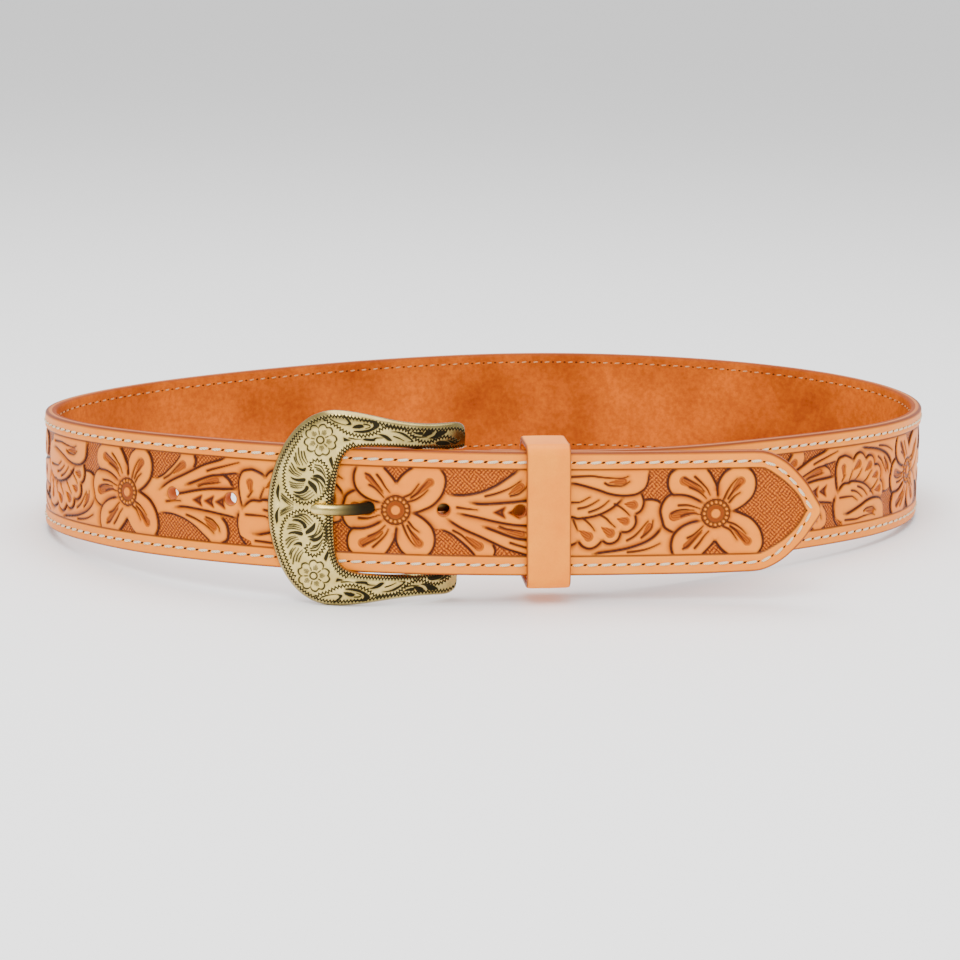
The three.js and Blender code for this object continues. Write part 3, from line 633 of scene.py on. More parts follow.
def tooling(s, h):
    """Depth, cut, ground and shade of the tooled face at each place, with the panel's border line."""
    x = np.interp(s, FLOWERS_S, UNIT * np.arange(len(FLOWERS_S)))
    x = np.where(s < FLOWERS_S[0], s - FLOWERS_S[0], x) % (2 * UNIT)
    past = s - FLOWERS_S[-1]
    rise = np.where(h < HALF, HALF - h + PANEL_LOW * soft_step(8, 16, HALF - h), h - HALF)
    from_tip = TIP_S - s
    panel = np.where(from_tip < TIP[-1, 0], hermite(TIP[:, 0], TIP[:, 2], from_tip), HALF - PANEL_INSET)
    nearer = hermite(TIP[:, 0], TIP[:, 2], from_tip - 0.5)
    slope = np.where(from_tip < TIP[-1, 0], (panel - nearer) / 0.5, 0)
    inner = (panel - rise) / np.sqrt(1 + slope ** 2)
    within = soft_step(-0.1, 0.25, inner)
    border = (1 - soft_step(0.22, 0.5, np.abs(inner))) * soft_step(4.7, 5.3, from_tip)
    start = soft_step(TOOLING_FROM, TOOLING_FROM + 4, s)
    out = {}
    for key in SHEETS:
        value = np.where(past > 0, END.sample(key, past, h), DOUBLE.sample(key, x, h))
        out[key] = value * within * start
    out["depth"] = np.maximum(out["depth"], 0.4 * border * start)
    out["depth"] = np.maximum(out["depth"], 0.12 * soft_step(-0.2, 0.6, inner) * start)
    out["cut"] = np.maximum(out["cut"], 0.75 * border * start)
    out["shade"] = np.maximum(out["shade"], 0.5 * np.exp(-(inner / 0.9) ** 2) * start * (inner > 0))
    return out


# Materials

def material(name, roughness, metallic=0.0, coat=0.0):
    """A principled material and its node tree, shader node and Object coordinates."""
    made = bpy.data.materials.new(name)
    made.use_nodes = True
    tree = made.node_tree
    shader = tree.nodes["Principled BSDF"]
    shader.inputs["Roughness"].default_value = roughness
    shader.inputs["Metallic"].default_value = metallic
    shader.inputs["Coat Weight"].default_value = coat
    place = tree.nodes.new("ShaderNodeTexCoord")
    return made, tree, shader, place.outputs["Object"]


def feed(tree, socket, value):
    """Links another socket to this one, or sets a plain value on it."""
    if isinstance(value, bpy.types.NodeSocket):
        tree.links.new(value, socket)
    else:
        socket.default_value = value


def new_node(tree, kind, settings=(), **values):
    """A node with some settings, and its inputs fed by name."""
    node = tree.nodes.new(kind)
    for key, value in dict(settings).items():
        setattr(node, key, value)
    for key, value in values.items():
        feed(tree, node.inputs[key.replace("_", " ")], value)
    return node


def math_node(tree, operation, a, b=0.0):
    """Result of a math node on two values."""
    node = new_node(tree, "ShaderNodeMath", {"operation": operation})
    feed(tree, node.inputs[0], a)
    feed(tree, node.inputs[1], b)
    return node.outputs[0]


def product(tree, a, b):
    """One value times another."""
    return math_node(tree, "MULTIPLY", a, b)


def bump(tree, shader, height, strength, distance):
    """Makes the shader's surface stand out by a height."""
    node = new_node(tree, "ShaderNodeBump", Strength=strength, Distance=distance, Height=height)
    tree.links.new(node.outputs["Normal"], shader.inputs["Normal"])


def mapped(tree, value, low, high):
    """A value from 0 to 1 turned into one from low to high."""
    node = new_node(tree, "ShaderNodeMapRange", {"clamp": True}, Value=value, To_Min=low, To_Max=high)
    return node.outputs["Result"]


def mix_colour(tree, share, a, b, blend="MIX"):
    """Colour a turned toward colour b by share. Each may be a socket or a plain colour."""
    settings = {"data_type": "RGBA", "blend_type": blend, "clamp_factor": True}
    node = new_node(tree, "ShaderNodeMix", settings)
    feed(tree, node.inputs[0], share)
    for index, value in ((6, a), (7, b)):
        feed(tree, node.inputs[index], value if isinstance(value, bpy.types.NodeSocket) else (*value, 1))
    return node.outputs[2]


def attribute(tree, name):
    """One of the mesh's own values, by name."""
    return new_node(tree, "ShaderNodeAttribute", {"attribute_name": name}).outputs["Fac"]


def srgb(r, g, b):
    """Linear colour of an 8 bit screen colour."""
    c = np.array([r, g, b]) / 255
    return tuple(float(v) for v in np.where(c <= 0.04045, c / 12.92, ((c + 0.055) / 1.055) ** 2.4))


def grain_group():
    """Leather grain: uneven tone from 0 to 1 and a fine pore height, from a place and a scale."""
    group = bpy.data.node_groups.new("leather_grain", "ShaderNodeTree")
    for name, way, kind in (("Place", "INPUT", "Vector"), ("Scale", "INPUT", "Float"),
                            ("Tone", "OUTPUT", "Float"), ("Pores", "OUTPUT", "Float")):
        group.interface.new_socket(name, in_out=way, socket_type="NodeSocket" + kind)
    place, scale = group.nodes.new("NodeGroupInput").outputs[:2]
    target = group.nodes.new("NodeGroupOutput")
    fine = product(group, scale, 22)
    for name, size, detail, rough in (("Tone", scale, 5.0, 0.6), ("Pores", fine, 3.0, 0.65)):
        noise = new_node(group, "ShaderNodeTexNoise", Vector=place, Scale=size, Detail=detail,
                         Roughness=rough)
        group.links.new(noise.outputs["Fac"], target.inputs[name])
    return group


GRAIN = grain_group()


def grain(tree, place, scale):
    """Tone and pore height of the leather grain at a place."""
    node = new_node(tree, "ShaderNodeGroup", {"node_tree": GRAIN}, Place=place, Scale=scale)
    return node.outputs["Tone"], node.outputs["Pores"]


def spread(tree, value, low, high):
    """Value stretched so that low gives 0 and high gives 1."""
    node = new_node(tree, "ShaderNodeMapRange", {"clamp": True}, Value=value, From_Min=low, From_Max=high)
    return node.outputs["Result"]


def stamped_checks(tree, uv):
    """Background stamp, 0 to 1: short strokes that lean one way or the other from patch to patch."""
    strokes = []
    for turn, scale in ((0.72, 0.27), (-0.82, 0.3)):
        turned = new_node(tree, "ShaderNodeVectorRotate", {"rotation_type": "Z_AXIS"}, Vector=uv, Angle=turn)
        wave = new_node(tree, "ShaderNodeTexWave", {"wave_type": "BANDS", "bands_direction": "X"},
                        Vector=turned.outputs["Vector"], Scale=scale, Distortion=5.0, Detail=2.0)
        wave.inputs["Detail Scale"].default_value = 0.8
        strokes.append(wave.outputs["Fac"])
    patch = new_node(tree, "ShaderNodeTexNoise", Vector=uv, Scale=0.42, Detail=1.5).outputs["Fac"]
    patch = spread(tree, patch, 0.44, 0.56)
    leaning = new_node(tree, "ShaderNodeMix", {"data_type": "FLOAT"}, Factor=patch)
    tree.links.new(strokes[0], leaning.inputs["A"])
    tree.links.new(strokes[1], leaning.inputs["B"])
    crossed = product(tree, strokes[0], strokes[1])
    check = math_node(tree, "ADD", product(tree, leaning.outputs["Result"], 0.4), product(tree, crossed, 0.6))
    pebble = new_node(tree, "ShaderNodeTexNoise", Vector=uv, Scale=1.7, Detail=2.0).outputs["Fac"]
    pebble = product(tree, math_node(tree, "SUBTRACT", pebble, 0.3), 0.9)
    return math_node(tree, "ADD", product(tree, check, 0.7), pebble)


LEATHER_SHINE = 0.08


def tooled_leather():
    """Russet leather: tan face, background with a fine checked stamp, dark knife cuts, burnished edge."""
    made, tree, shader, place = material("tooled_leather", 0.4)
    shader.inputs["Specular IOR Level"].default_value = LEATHER_SHINE
    shader.inputs["Coat Roughness"].default_value = 0.22
    tone, pores = grain(tree, place, 45.0)
    cut, ground = attribute(tree, "cut"), attribute(tree, "ground")
    shade, edge = attribute(tree, "shade"), attribute(tree, "edge")
    uv = new_node(tree, "ShaderNodeUVMap", {"uv_map": "millimetres"}).outputs["UV"]
    check = stamped_checks(tree, uv)
    colour = mix_colour(tree, spread(tree, tone, 0.3, 0.7), srgb(236, 126, 16), srgb(246, 144, 30))
    # Painted shade beside the knife lines, round the stamps and in the hollows, partly the darker burnish of
    # bevelled and shaded leather
    colour = mix_colour(tree, product(tree, shade, 0.95), colour, srgb(148, 62, 0))
    stamped = mix_colour(tree, spread(tree, check, 0.2, 0.8), srgb(116, 46, 0), srgb(218, 112, 12))
    colour = mix_colour(tree, ground, colour, stamped)
    colour = mix_colour(tree, cut, colour, srgb(66, 25, 8))
    colour = mix_colour(tree, edge, colour, srgb(104, 40, 16))
    tree.links.new(colour, shader.inputs["Base Color"])
    height = product(tree, product(tree, check, ground), 0.0004)
    height = math_node(tree, "ADD", height, product(tree, pores, 0.00004))
    bump(tree, shader, height, 0.9, 1.0)
    tree.links.new(mapped(tree, ground, 0.04, 0.1), shader.inputs["Coat Weight"])
    return made


def plain_leather(name, dark, light, roughness, scale, coat=0.1, nap=0.1):
    """Smooth leather in two cloudy tones with a little nap, darker where its edge value is high."""
    made, tree, shader, place = material(name, roughness, coat=coat)
    shader.inputs["Specular IOR Level"].default_value = LEATHER_SHINE
    tone, pores = grain(tree, place, scale)
    colour = mix_colour(tree, spread(tree, tone, 0.32, 0.68), dark, light)
    speck = mix_colour(tree, spread(tree, pores, 0.35, 0.65), srgb(196, 170, 150), (1, 1, 1))
    colour = mix_colour(tree, nap, colour, speck, "MULTIPLY")
    colour = mix_colour(tree, attribute(tree, "edge"), colour, srgb(120, 52, 24))
    tree.links.new(colour, shader.inputs["Base Color"])
    bump(tree, shader, pores, 0.6, 0.00006)
    return made


def zigzag_group():
    """A zigzag: 1 where a place, along and away from a rim, is within the line's width of a triangle wave."""
    group = bpy.data.node_groups.new("zigzag", "ShaderNodeTree")
    sizes = {"Along": 0, "Away": 0, "Inset": 1, "Period": 1.25, "Swing": 0.48, "Width": 0.36}
    for name, value in sizes.items():
        socket = group.interface.new_socket(name, in_out="INPUT", socket_type="NodeSocketFloat")
        socket.default_value = value
    group.interface.new_socket("Line", in_out="OUTPUT", socket_type="NodeSocketFloat")
    source = group.nodes.new("NodeGroupInput").outputs
    target = group.nodes.new("NodeGroupOutput")
    half = product(group, source["Period"], 0.5)
    wave = math_node(group, "DIVIDE", math_node(group, "PINGPONG", source["Along"], half), half)
    wave = product(group, math_node(group, "SUBTRACT", wave, 0.5), product(group, source["Swing"], 2))
    off = math_node(group, "SUBTRACT", math_node(group, "SUBTRACT", source["Away"], source["Inset"]), wave)
    off = math_node(group, "DIVIDE", math_node(group, "ABSOLUTE", off), source["Width"])
    group.links.new(spread(group, off, 1.6, 0.9), target.inputs["Line"])
    return group


ZIGZAG = zigzag_group()


def zigzag(tree, along, away, **values):
    """The zigzag at the mesh's own values of those two names."""
    node = new_node(tree, "ShaderNodeGroup", {"node_tree": ZIGZAG}, Along=attribute(tree, along),
                    Away=attribute(tree, away), **values)
    return node.outputs["Line"]


def antique_brass():
    """Pale worn brass with black left in the engraving, darkened by tarnish and painted shade; its zigzags
    follow the rims and the vine.
    """
    made, tree, shader, place = material("antique_brass", 0.3, 1.0)
    tone = new_node(tree, "ShaderNodeTexNoise", Vector=place, Scale=180.0, Detail=4.0).outputs["Fac"]
    patina_and_painted_shade, tarnish_and_painted_shade, face = (attribute(tree, name) for name in ("patina_and_painted_shade", "tarnish_and_painted_shade", "face"))
    for along, away, inset in (("rim_along", "rim_away", 1.9), ("mouth_along", "mouth_away", 1.0),
                               ("second_along", "second_away", 2.05), ("vine_along", "vine_away", 0.0)):
        line = product(tree, zigzag(tree, along, away, Inset=inset), face)
        patina_and_painted_shade = math_node(tree, "MAXIMUM", patina_and_painted_shade, line)
    leaf = product(tree, spread(tree, attribute(tree, "leaf"), 0.1, -0.08), face)
    patina_and_painted_shade = math_node(tree, "MAXIMUM", patina_and_painted_shade, leaf)
    colour = mix_colour(tree, spread(tree, tone, 0.3, 0.7), srgb(194, 170, 94), srgb(236, 212, 134))
    colour = mix_colour(tree, product(tree, tarnish_and_painted_shade, 0.85), colour, srgb(70, 57, 34))
    colour = mix_colour(tree, product(tree, patina_and_painted_shade, 0.94), colour, srgb(20, 19, 17))
    tree.links.new(colour, shader.inputs["Base Color"])
    tree.links.new(mapped(tree, patina_and_painted_shade, 0.24, 0.7), shader.inputs["Roughness"])
    bump(tree, shader, product(tree, patina_and_painted_shade, -1.0), 0.7, 0.0002)
    return made


def thread_material(name, dark, light):
    """Waxed thread, its twist as slanting bands of two tones."""
    made, tree, shader, place = material(name, 0.55)
    twist = new_node(tree, "ShaderNodeTexWave", {"wave_type": "BANDS", "bands_direction": "DIAGONAL"},
                     Vector=place, Scale=900.0).outputs["Fac"]
    colour = mix_colour(tree, twist, dark, light)
    tree.links.new(colour, shader.inputs["Base Color"])
    return made


TOOLED = tooled_leather()
INSIDE = plain_leather("lining_leather", srgb(146, 60, 0), srgb(202, 98, 2), 0.55, 22.0, 0.0, 0.55)
KEEPER = plain_leather("keeper_leather", srgb(242, 132, 12), srgb(252, 150, 24), 0.38, 70.0, 0.07)
BRASS = antique_brass()
THREAD = thread_material("waxed_thread", srgb(176, 150, 106), srgb(240, 224, 190))
SUNK_THREAD = thread_material("sunk_thread", srgb(150, 84, 34), srgb(206, 146, 84))
# Dark slits on the leather where the thread goes in: painted shade standing for the needle holes' depth
NEEDLE = plain_leather("needle_hole", srgb(40, 17, 8), srgb(62, 28, 12), 0.7, 200.0, 0.0)
HOLE_WALL = plain_leather("hole_wall", srgb(190, 96, 40), srgb(214, 122, 62), 0.6, 200.0, 0.0)


# Strap

def stations(rows):
    """Places along the strap at the given pitches. Columns of rows: place, pitch from there on."""
    rows = np.array(rows, float)
    fine = np.linspace(rows[0, 0], rows[-1, 0], 20001)
    count = np.concatenate([[0], np.cumsum(np.diff(fine) / np.interp(fine[1:], rows[:, 0], rows[:, 1]))])
    return np.interp(np.arange(int(count[-1]) + 1) * count[-1] / int(count[-1]), count, fine)


# Holes as punched by hand, each a little off the even spacing
HOLES_S = HOLE_S + HOLE_SPACING * np.arange(-3, 3) + [-1.9, -2.0, -0.8, 0, -0.3, 1.7]
STRAP_S = stations([(0, 1.6), (60, 1.4), (90, 0.6), (105, 0.42), (262, 0.45), (290, 0.7), (330, 0.82),
                    (740, 0.82), (780, 0.6), (800, 0.42), (850, 0.38), (900, 0.36), (945, 0.33),
                    (TIP_S - 4, 0.33), (TIP_S - 2, 0.18), (TIP_S, 0.12)])
ACROSS = np.concatenate([[-HALF, -22.1, -21.8, -21.4], 1 + 0.34 * np.arange(-65, 60),
                         [21.55, 21.9, 22.12, HALF]])


def open_holes(s, h, centres):
    """Draws the grid's points back from each hole onto its rim. Returns the cells to leave out and the rims.

    The ring of points on a box round the hole is put on the rim, and the push fades out at twice the box.
    """
    rows, columns = s.shape
    drop = np.zeros((rows - 1, columns - 1), bool)
    rims = []
    for hole_s, hole_h, across, high, _ in centres:
        i = np.argmin(np.abs(s[:, 0] - hole_s))
        j = np.argmin(np.abs(h[i] - hole_h))
        pitch_s = s[i + 1, 0] - s[i, 0]
        pitch_h = h[i, j + 1] - h[i, j]
        m = max(2, int(round(0.8 * across / pitch_s)))
        n = max(2, int(round(0.8 * high / pitch_h)))
        area = (slice(i - 2 * m - 1, i + 2 * m + 2), slice(j - 2 * n - 1, j + 2 * n + 2))
        ds = s[area] - s[i, j]
        dh = h[area] - h[i, j]
        box_s = np.where(ds > 0, s[i + m, j] - s[i, j], s[i, j] - s[i - m, j])
        box_h = np.where(dh > 0, h[i, j + n] - h[i, j], h[i, j] - h[i, j - n])
        level = np.maximum(np.abs(ds) / box_s, np.abs(dh) / box_h)
        level = np.maximum(level, 1e-6)
        rim = 1 / np.hypot(ds / level / across, dh / level / high).clip(1e-9)
        push = (rim - 1) * np.clip(2 - level, 0, 1) / level
        outside = level > 0.999
        s[area] += np.where(outside, ds * push, 0)
        h[area] += np.where(outside, dh * push, 0)
        drop[i - m:i + m, j - n:j + n] = True
        ring = [(i - m, c) for c in range(j - n, j + n)]
        ring += [(r, j + n) for r in range(i - m, i + m)]
        ring += [(i + m, c) for c in range(j + n, j - n, -1)]
        ring += [(r, j - n) for r in range(i + m, i - m, -1)]
        rims.append(np.array(ring))
    return drop, rims


def hole_sizes(deep=0.0):
    """Each hole at a depth: place, height, half width, half height, and slant, which the used one has."""
    sizes = [(s, HALF + HOLE_RISE, HOLE_RADIUS, HOLE_RADIUS, 0.0) for s in HOLES_S]
    sizes[USED_HOLE] = (HOLES_S[USED_HOLE] + deep - 1.9, HALF + HOLE_RISE, 2.5, 2.25, 1.0)
    return sizes


for row in hole_sizes():
    STRAP_S[np.argmin(np.abs(STRAP_S - row[0]))] = row[0]


def strap_face():
    """Places s, h and depth of the tooled face, its values, the cells kept and the rims of the holes."""
    s = np.repeat(STRAP_S[:, None], len(ACROSS), 1)
    half = half_width(STRAP_S)[:, None]
    h = HALF + ACROSS[None, :] * half / HALF
    h -= low_drop(s) * soft_step(0.75, 1, -ACROSS[None, :] / HALF)
    drop, rims = open_holes(s, h, hole_sizes())
    values = tooling(s, h)
    from_end = TIP_S - s
    slope = np.gradient(half_width(STRAP_S), STRAP_S)[:, None]
    even_in = (half - np.abs(h - HALF)) / np.sqrt(1 + slope ** 2)
    edge_in = np.minimum(even_in + low_drop(s) * (h < HALF), np.where(from_end < 4, from_end + 0.4, 99))
    edge = np.clip(edge_in, 0, EDGE_TURN)
    depth = values["depth"] + EDGE_TURN - np.sqrt(np.maximum(EDGE_TURN ** 2 - (EDGE_TURN - edge) ** 2, 0))
    depth += 0.22 * np.exp(-((even_in - STITCH_INSET) / 0.55) ** 2)
    for hole_s, hole_h, across, high, _ in hole_sizes():
        r = np.hypot((s - hole_s) / across, (h - hole_h) / high)
        depth += 0.5 * np.exp(-((r - 1) / 0.28) ** 2) * (r > 0.9)
        rim = 0.8 * np.exp(-((r - 1) / 0.16) ** 2)
        values["cut"] = np.maximum(values["cut"] * soft_step(1, 1.5, r), rim)
        values["ground"] = values["ground"] * soft_step(1, 1.4, r)
    values["edge"] = 0.95 * (1 - soft_step(0.3, 1.2, edge_in))
    return s, h, depth, values, ~drop, rims


# How far down each edge the outer leather shows, and how dark it is there. Columns: depth, inset, darkness
EDGE_ROWS = [
    (1.25, -0.02, 0.85), (1.5, 0, 0.62), (2, 0.02, 0.5), (2.55, 0.02, 0.6), (2.85, 0.1, 0.9), (3.1, 0.3, 1),
]


def build_strap():
    """The outer strap's face and edges, cut into runs that share their end rows."""
    s, h, depth, values, keep, rims = strap_face()
    face = on_strap(s, -depth, h)
    half = half_width(STRAP_S)
    foot = HALF - half - low_drop(STRAP_S)
    lower = [on_strap(STRAP_S, -d, foot + inset) for d, inset, _ in EDGE_ROWS][::-1]
    upper = [on_strap(STRAP_S, -d, HALF + half - inset) for d, inset, _ in EDGE_ROWS]
    points = np.concatenate([np.stack(lower, 1), face, np.stack(upper, 1)], 1)
    side = len(EDGE_ROWS)
    dark = np.array([row[2] for row in EDGE_ROWS])

    def padded(sheet, low=0.0, high=0.0):
        """The sheet with columns added for the lower and the upper edge."""
        return np.concatenate([np.broadcast_to(low, (len(sheet), side)), sheet,
                               np.broadcast_to(high, (len(sheet), side))], 1)

    sheets = {key: padded(values[key]) for key in ("cut", "ground", "shade")}
    sheets["edge"] = padded(values["edge"], dark[::-1], dark)
    uv = np.stack([padded(s, STRAP_S[:, None], STRAP_S[:, None]), padded(h, -1.0, WIDTH + 1)], -1)
    keep = np.pad(keep, ((0, 0), (side, side)), constant_values=True)
    cuts = np.searchsorted(STRAP_S, [0, 95, 275, 800, HOLE_S - 22, TIP_S + 1])
    names = ["strap_under_end", "strap_right", "strap_back", "strap_left", "strap_front"]
    for name, a, b in zip(names, cuts[:-1], cuts[1:]):
        b = min(b + 1, len(STRAP_S))
        part = slice(a, b)
        rows, columns = b - a, points.shape[1]
        kept = keep[a:b - 1].ravel()
        faces = [grid_quads(rows, columns, flip=True)[kept]]
        ends = points[part].reshape(-1, 3)
        if name == "strap_front":
            last = (rows - 1) * columns
            faces.append(np.arange(columns)[None, :] + last)
        used, faces = compact(ends, faces)
        make(name, ends[used], faces, TOOLED, uv=uv[part].reshape(-1, 2)[used],
             values={key: sheet[part].reshape(-1)[used] for key, sheet in sheets.items()})
    build_hole_walls(points, rims, side)


def compact(points, faces):
    """Index of the points that some face uses, and the faces renumbered to match."""
    used = np.unique(np.concatenate([f.ravel() for f in faces]))
    renumber = np.full(len(points), -1)
    renumber[used] = np.arange(len(used))
    return used, [renumber[f] for f in faces]


def build_hole_walls(points, rims, side):
    """A short tube through both leathers from each hole's rim."""
    rings, faces, base = [], [], 0
    for rim, (hole_s, hole_h, across, high, slant) in zip(rims, hole_sizes()):
        mouth = points[rim[:, 0], rim[:, 1] + side]
        turn = local_frame(hole_s)[1]
        inward = slant * turn[0] - turn[1]
        rows = [mouth + inward * d for d in (0.0, 0.4, 1.2, 2.4, BOTH - 0.05)]
        rings.append(np.concatenate(rows))
        faces.append(grid_quads(len(rows), len(rim), wrap_columns=True) + base)
        base += len(rows) * len(rim)
    faces = [np.concatenate(faces)]
    walls = make("hole_walls", np.concatenate(rings), faces, HOLE_WALL)
    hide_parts("strap_outer")


build_strap()


def build_lining():
    """The lining's inner face and edges, with the same holes."""
    places = stations([(12, 1.6), (TIP_S - 170, 1.2), (TIP_S - 30, 1), (TIP_S - 3, 0.4), (TIP_S - 0.12, 0.2)])
    for row in hole_sizes(BOTH):
        places[np.argmin(np.abs(places - row[0]))] = row[0]
    middle = 1 + 1.1 * np.arange(-19, 19)
    across = np.concatenate([[-HALF + 0.1, -21.6, -21], middle, [21, 21.7, HALF - 0.1]])
    s = np.repeat(places[:, None], len(across), 1)
    half = half_width(places)[:, None] - 0.05
    h = HALF + across[None, :] * half / HALF
    drop = open_holes(s, h, hole_sizes(BOTH))[0]
    edge_in = half - np.abs(h - HALF)
    depth = BOTH - 0.5 * np.exp(-(edge_in / 0.35) ** 2)
    depth -= 0.15 * np.exp(-((edge_in - STITCH_INSET) / 0.6) ** 2)
    face = on_strap(s, -depth, h)
    half = half[:, 0]
    levels = [LEATHER - 0.15, LEATHER + 0.3, LEATHER + 0.7, LEATHER + 1.05]
    lower = np.stack([on_strap(places, -d, HALF - half) for d in levels], 1)
    upper = np.stack([on_strap(places, -d, HALF + half) for d in levels[::-1]], 1)
    points = np.concatenate([lower, face, upper], 1)
    keep = np.pad(~drop, ((0, 0), (4, 4)), constant_values=True)
    edge = np.concatenate([np.full((len(places), 4), 0.7), 0.6 * (1 - soft_step(0.1, 0.8, edge_in)),
                           np.full((len(places), 4), 0.7)], 1)
    rows, columns = points.shape[:2]
    faces = [grid_quads(rows, columns)[keep.ravel()]]
    faces.append(np.arange(columns)[None, :])
    faces.append(np.arange(columns)[None, ::-1] + (rows - 1) * columns)
    flat = points.reshape(-1, 3)
    used, faces = compact(flat, faces)
    values = {"edge": edge.ravel()[used]}
    piece = make("strap_inside", flat[used], faces, INSIDE, values=values)
    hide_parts("strap_lining")


build_lining()


def build_fold():
    """The strap's end: round the heel bar and back along the inside as a flap, with a slot for the prong."""
    place, (along, normal, _) = local_frame(0.0)
    radius = BEND_RADIUS
    bar = place - normal * (LEATHER + radius)
    flap = np.linspace(FLAP_LONG, 0.4, 40)
    ease = soft_step(0, 14, flap)
    flesh = LEATHER + 2 * radius + (FLAP_DEPTH - LEATHER - 2 * radius) * ease
    thick = np.where(flap > FLAP_LONG - 0.6, 1.8, LEATHER)
    overlap = np.arange(1.0, 7)
    turn = np.linspace(0, np.pi, 19)[:, None]
    out = -np.cos(turn) * normal - np.sin(turn) * along
    front = np.concatenate([on_strap(flap, -flesh - thick, 0.0), bar + out * (radius + LEATHER),
                            on_strap(overlap, -0.05, 0.0)])
    back = np.concatenate([on_strap(flap, -flesh, 0.0), bar + out * radius,
                           on_strap(overlap, -LEATHER, 0.0)])
    heights = HALF + np.array([-20.2, -20.05, -19.6, -15, -10, -5, -1.8, 4.4, 9, 14, 19.6, 20.05, 20.2])
    pinch = np.array([0.5, 0.15, 0, 0, 0, 0, 0, 0, 0, 0, 0, 0.15, 0.5])[None, :, None]
    toward = (back - front) / np.linalg.norm(back - front, axis=1, keepdims=True)
    lift = heights[None, :, None] * np.array([0, 0, 1.0])
    front = front[:, None] + toward[:, None] * pinch + lift
    back = back[:, None] - toward[:, None] * pinch + lift
    keep = np.ones((len(front) - 1, len(heights) - 1), bool)
    first = int(np.argmax(flap < 5.4))
    keep[first:, 6] = False
    points, quads = thick_sheet(front, back, keep)
    used, faces = compact(points, [quads])
    plain = {key: np.zeros(len(used)) for key in ("cut", "ground", "shade", "edge")}
    piece = make("strap_fold", points[used], faces, TOOLED,
                 uv=np.zeros((len(used), 2)), values=plain)
    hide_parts("strap_outer")
    return bar


BAR = build_fold()


# Stitching

def stitch_path():
    """Line of the stitches as places (s, h): the lower row, round the tip inside its edge, and back above."""
    near = np.linspace(TIP_S - 42, TIP_S, 500)
    half = half_width(near)
    rim = np.concatenate([np.stack([near, HALF - half], 1), np.stack([near, HALF + half], 1)[::-1]])
    along = np.gradient(rim, axis=0)
    along /= np.hypot(*along.T)[:, None]
    moved = rim + np.stack([-along[:, 1], along[:, 0]], 1) * STITCH_INSET
    gap = np.hypot(moved[:, None, 0] - rim[None, :, 0], moved[:, None, 1] - rim[None, :, 1]).min(1)
    moved = moved[gap > STITCH_INSET - 0.06]
    low = STITCH_INSET
    first, last = 66, TIP_S - 43
    return np.vstack([[(first, low), (last, low)], moved, [(last, WIDTH - low), (first, WIDTH - low)]])


def stitch_seats(path, pitch):
    """Middles and directions of equal stitches along a line."""
    length = run_length(path)
    count = int(round(length[-1] / pitch))
    at = (np.arange(count) + 0.5) * length[-1] / count
    ends = [np.stack([np.interp(at + d, length, path[:, c]) for c in (0, 1)], 1) for d in (-1.6, 1.6)]
    middle = np.stack([np.interp(at, length, path[:, c]) for c in (0, 1)], 1)
    turn = np.arctan2(ends[1][:, 1] - ends[0][:, 1], ends[1][:, 0] - ends[0][:, 0])
    return middle, turn


def thread_shape(long, radius, sides=6, rings=7):
    """A short thread that dips at both ends: rings along x. Returns points (x, y, z) and faces."""
    x = np.linspace(-1, 1, rings)
    size = radius * np.array([0.55, 0.85, 1, 1.02, 1, 0.85, 0.55])
    turn = np.arange(sides) * 2 * np.pi / sides
    y = size[:, None] * np.cos(turn)
    z = size[:, None] * np.sin(turn) * 0.8 + (0.18 - 0.5 * np.abs(x) ** 4)[:, None]
    points = np.stack([np.broadcast_to(x[:, None] * long / 2, y.shape), y, z], -1).reshape(-1, 3)
    caps = np.stack([np.arange(sides)[::-1], np.arange(sides) + (rings - 1) * sides])
    return points, [grid_quads(rings, sides, wrap_columns=True), caps]


def repeated(points, faces, seats, turns, out, flip=False):
    """Many copies of a small shape on the strap, each at its (s, h), turned in the face and raised by out."""
    c, d = np.cos(turns)[:, None], np.sin(turns)[:, None]
    s = seats[:, :1] + points[:, 0] * c - points[:, 1] * d
    h = seats[:, 1:] + points[:, 0] * d + points[:, 1] * c
    o = out + points[:, 2] * (-1 if flip else 1)
    placed = on_strap(s, np.broadcast_to(o, s.shape), h)
    step = len(points) * np.arange(len(seats))[:, None, None]
    return placed.reshape(-1, 3), [(f[None] + step).reshape(-1, f.shape[1]) for f in faces]


def build_stitches():
    """Threads and needle holes in a row: raised ones on the outside and sunk ones on the lining."""
    seats, turns = stitch_seats(stitch_path(), STITCH_PITCH)
    slant = 0.11
    shape, faces = thread_shape(STITCH_PITCH * 0.77, 0.5)
    points, quads = repeated(shape, [f[:, ::-1] for f in faces], seats, turns + slant, -0.14)
    piece = make("stitches", points, quads, THREAD)
    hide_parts("strap_outer")
    # The needle holes are dark slits laid on the face: painted shade for the holes
    turn = np.arange(8) * np.pi / 4
    rim = np.stack([0.95 * np.cos(turn), 0.5 * np.sin(turn), np.full(8, -0.1)], 1)
    top = rim * [0.85, 0.8, 0] + [0, 0, 0.06]
    slit = np.vstack([rim, top])
    slit_faces = [grid_quads(2, 8, wrap_columns=True), np.arange(8, 16)[None, :]]
    between = np.stack([(seats[1:, 0] + seats[:-1, 0]) / 2, (seats[1:, 1] + seats[:-1, 1]) / 2], 1)
    flipped = [f[:, ::-1] for f in slit_faces]
    points, quads = repeated(slit, flipped, between, turns[1:] + 0.55, -0.19)
    make("needle_holes", points, quads, NEEDLE)
    shape, faces = thread_shape(STITCH_PITCH * 0.5, 0.34)
    points, quads = repeated(shape, faces, seats, turns - slant, 0.17 - BOTH, flip=True)
    make("stitches_inside", points, quads, SUNK_THREAD)
    points, quads = repeated(slit * [0.6, 0.7, 1], slit_faces, between, turns[1:], 0.06 - BOTH, flip=True)
    make("needle_holes_inside", points, quads, NEEDLE)


build_stitches()


# Keeper

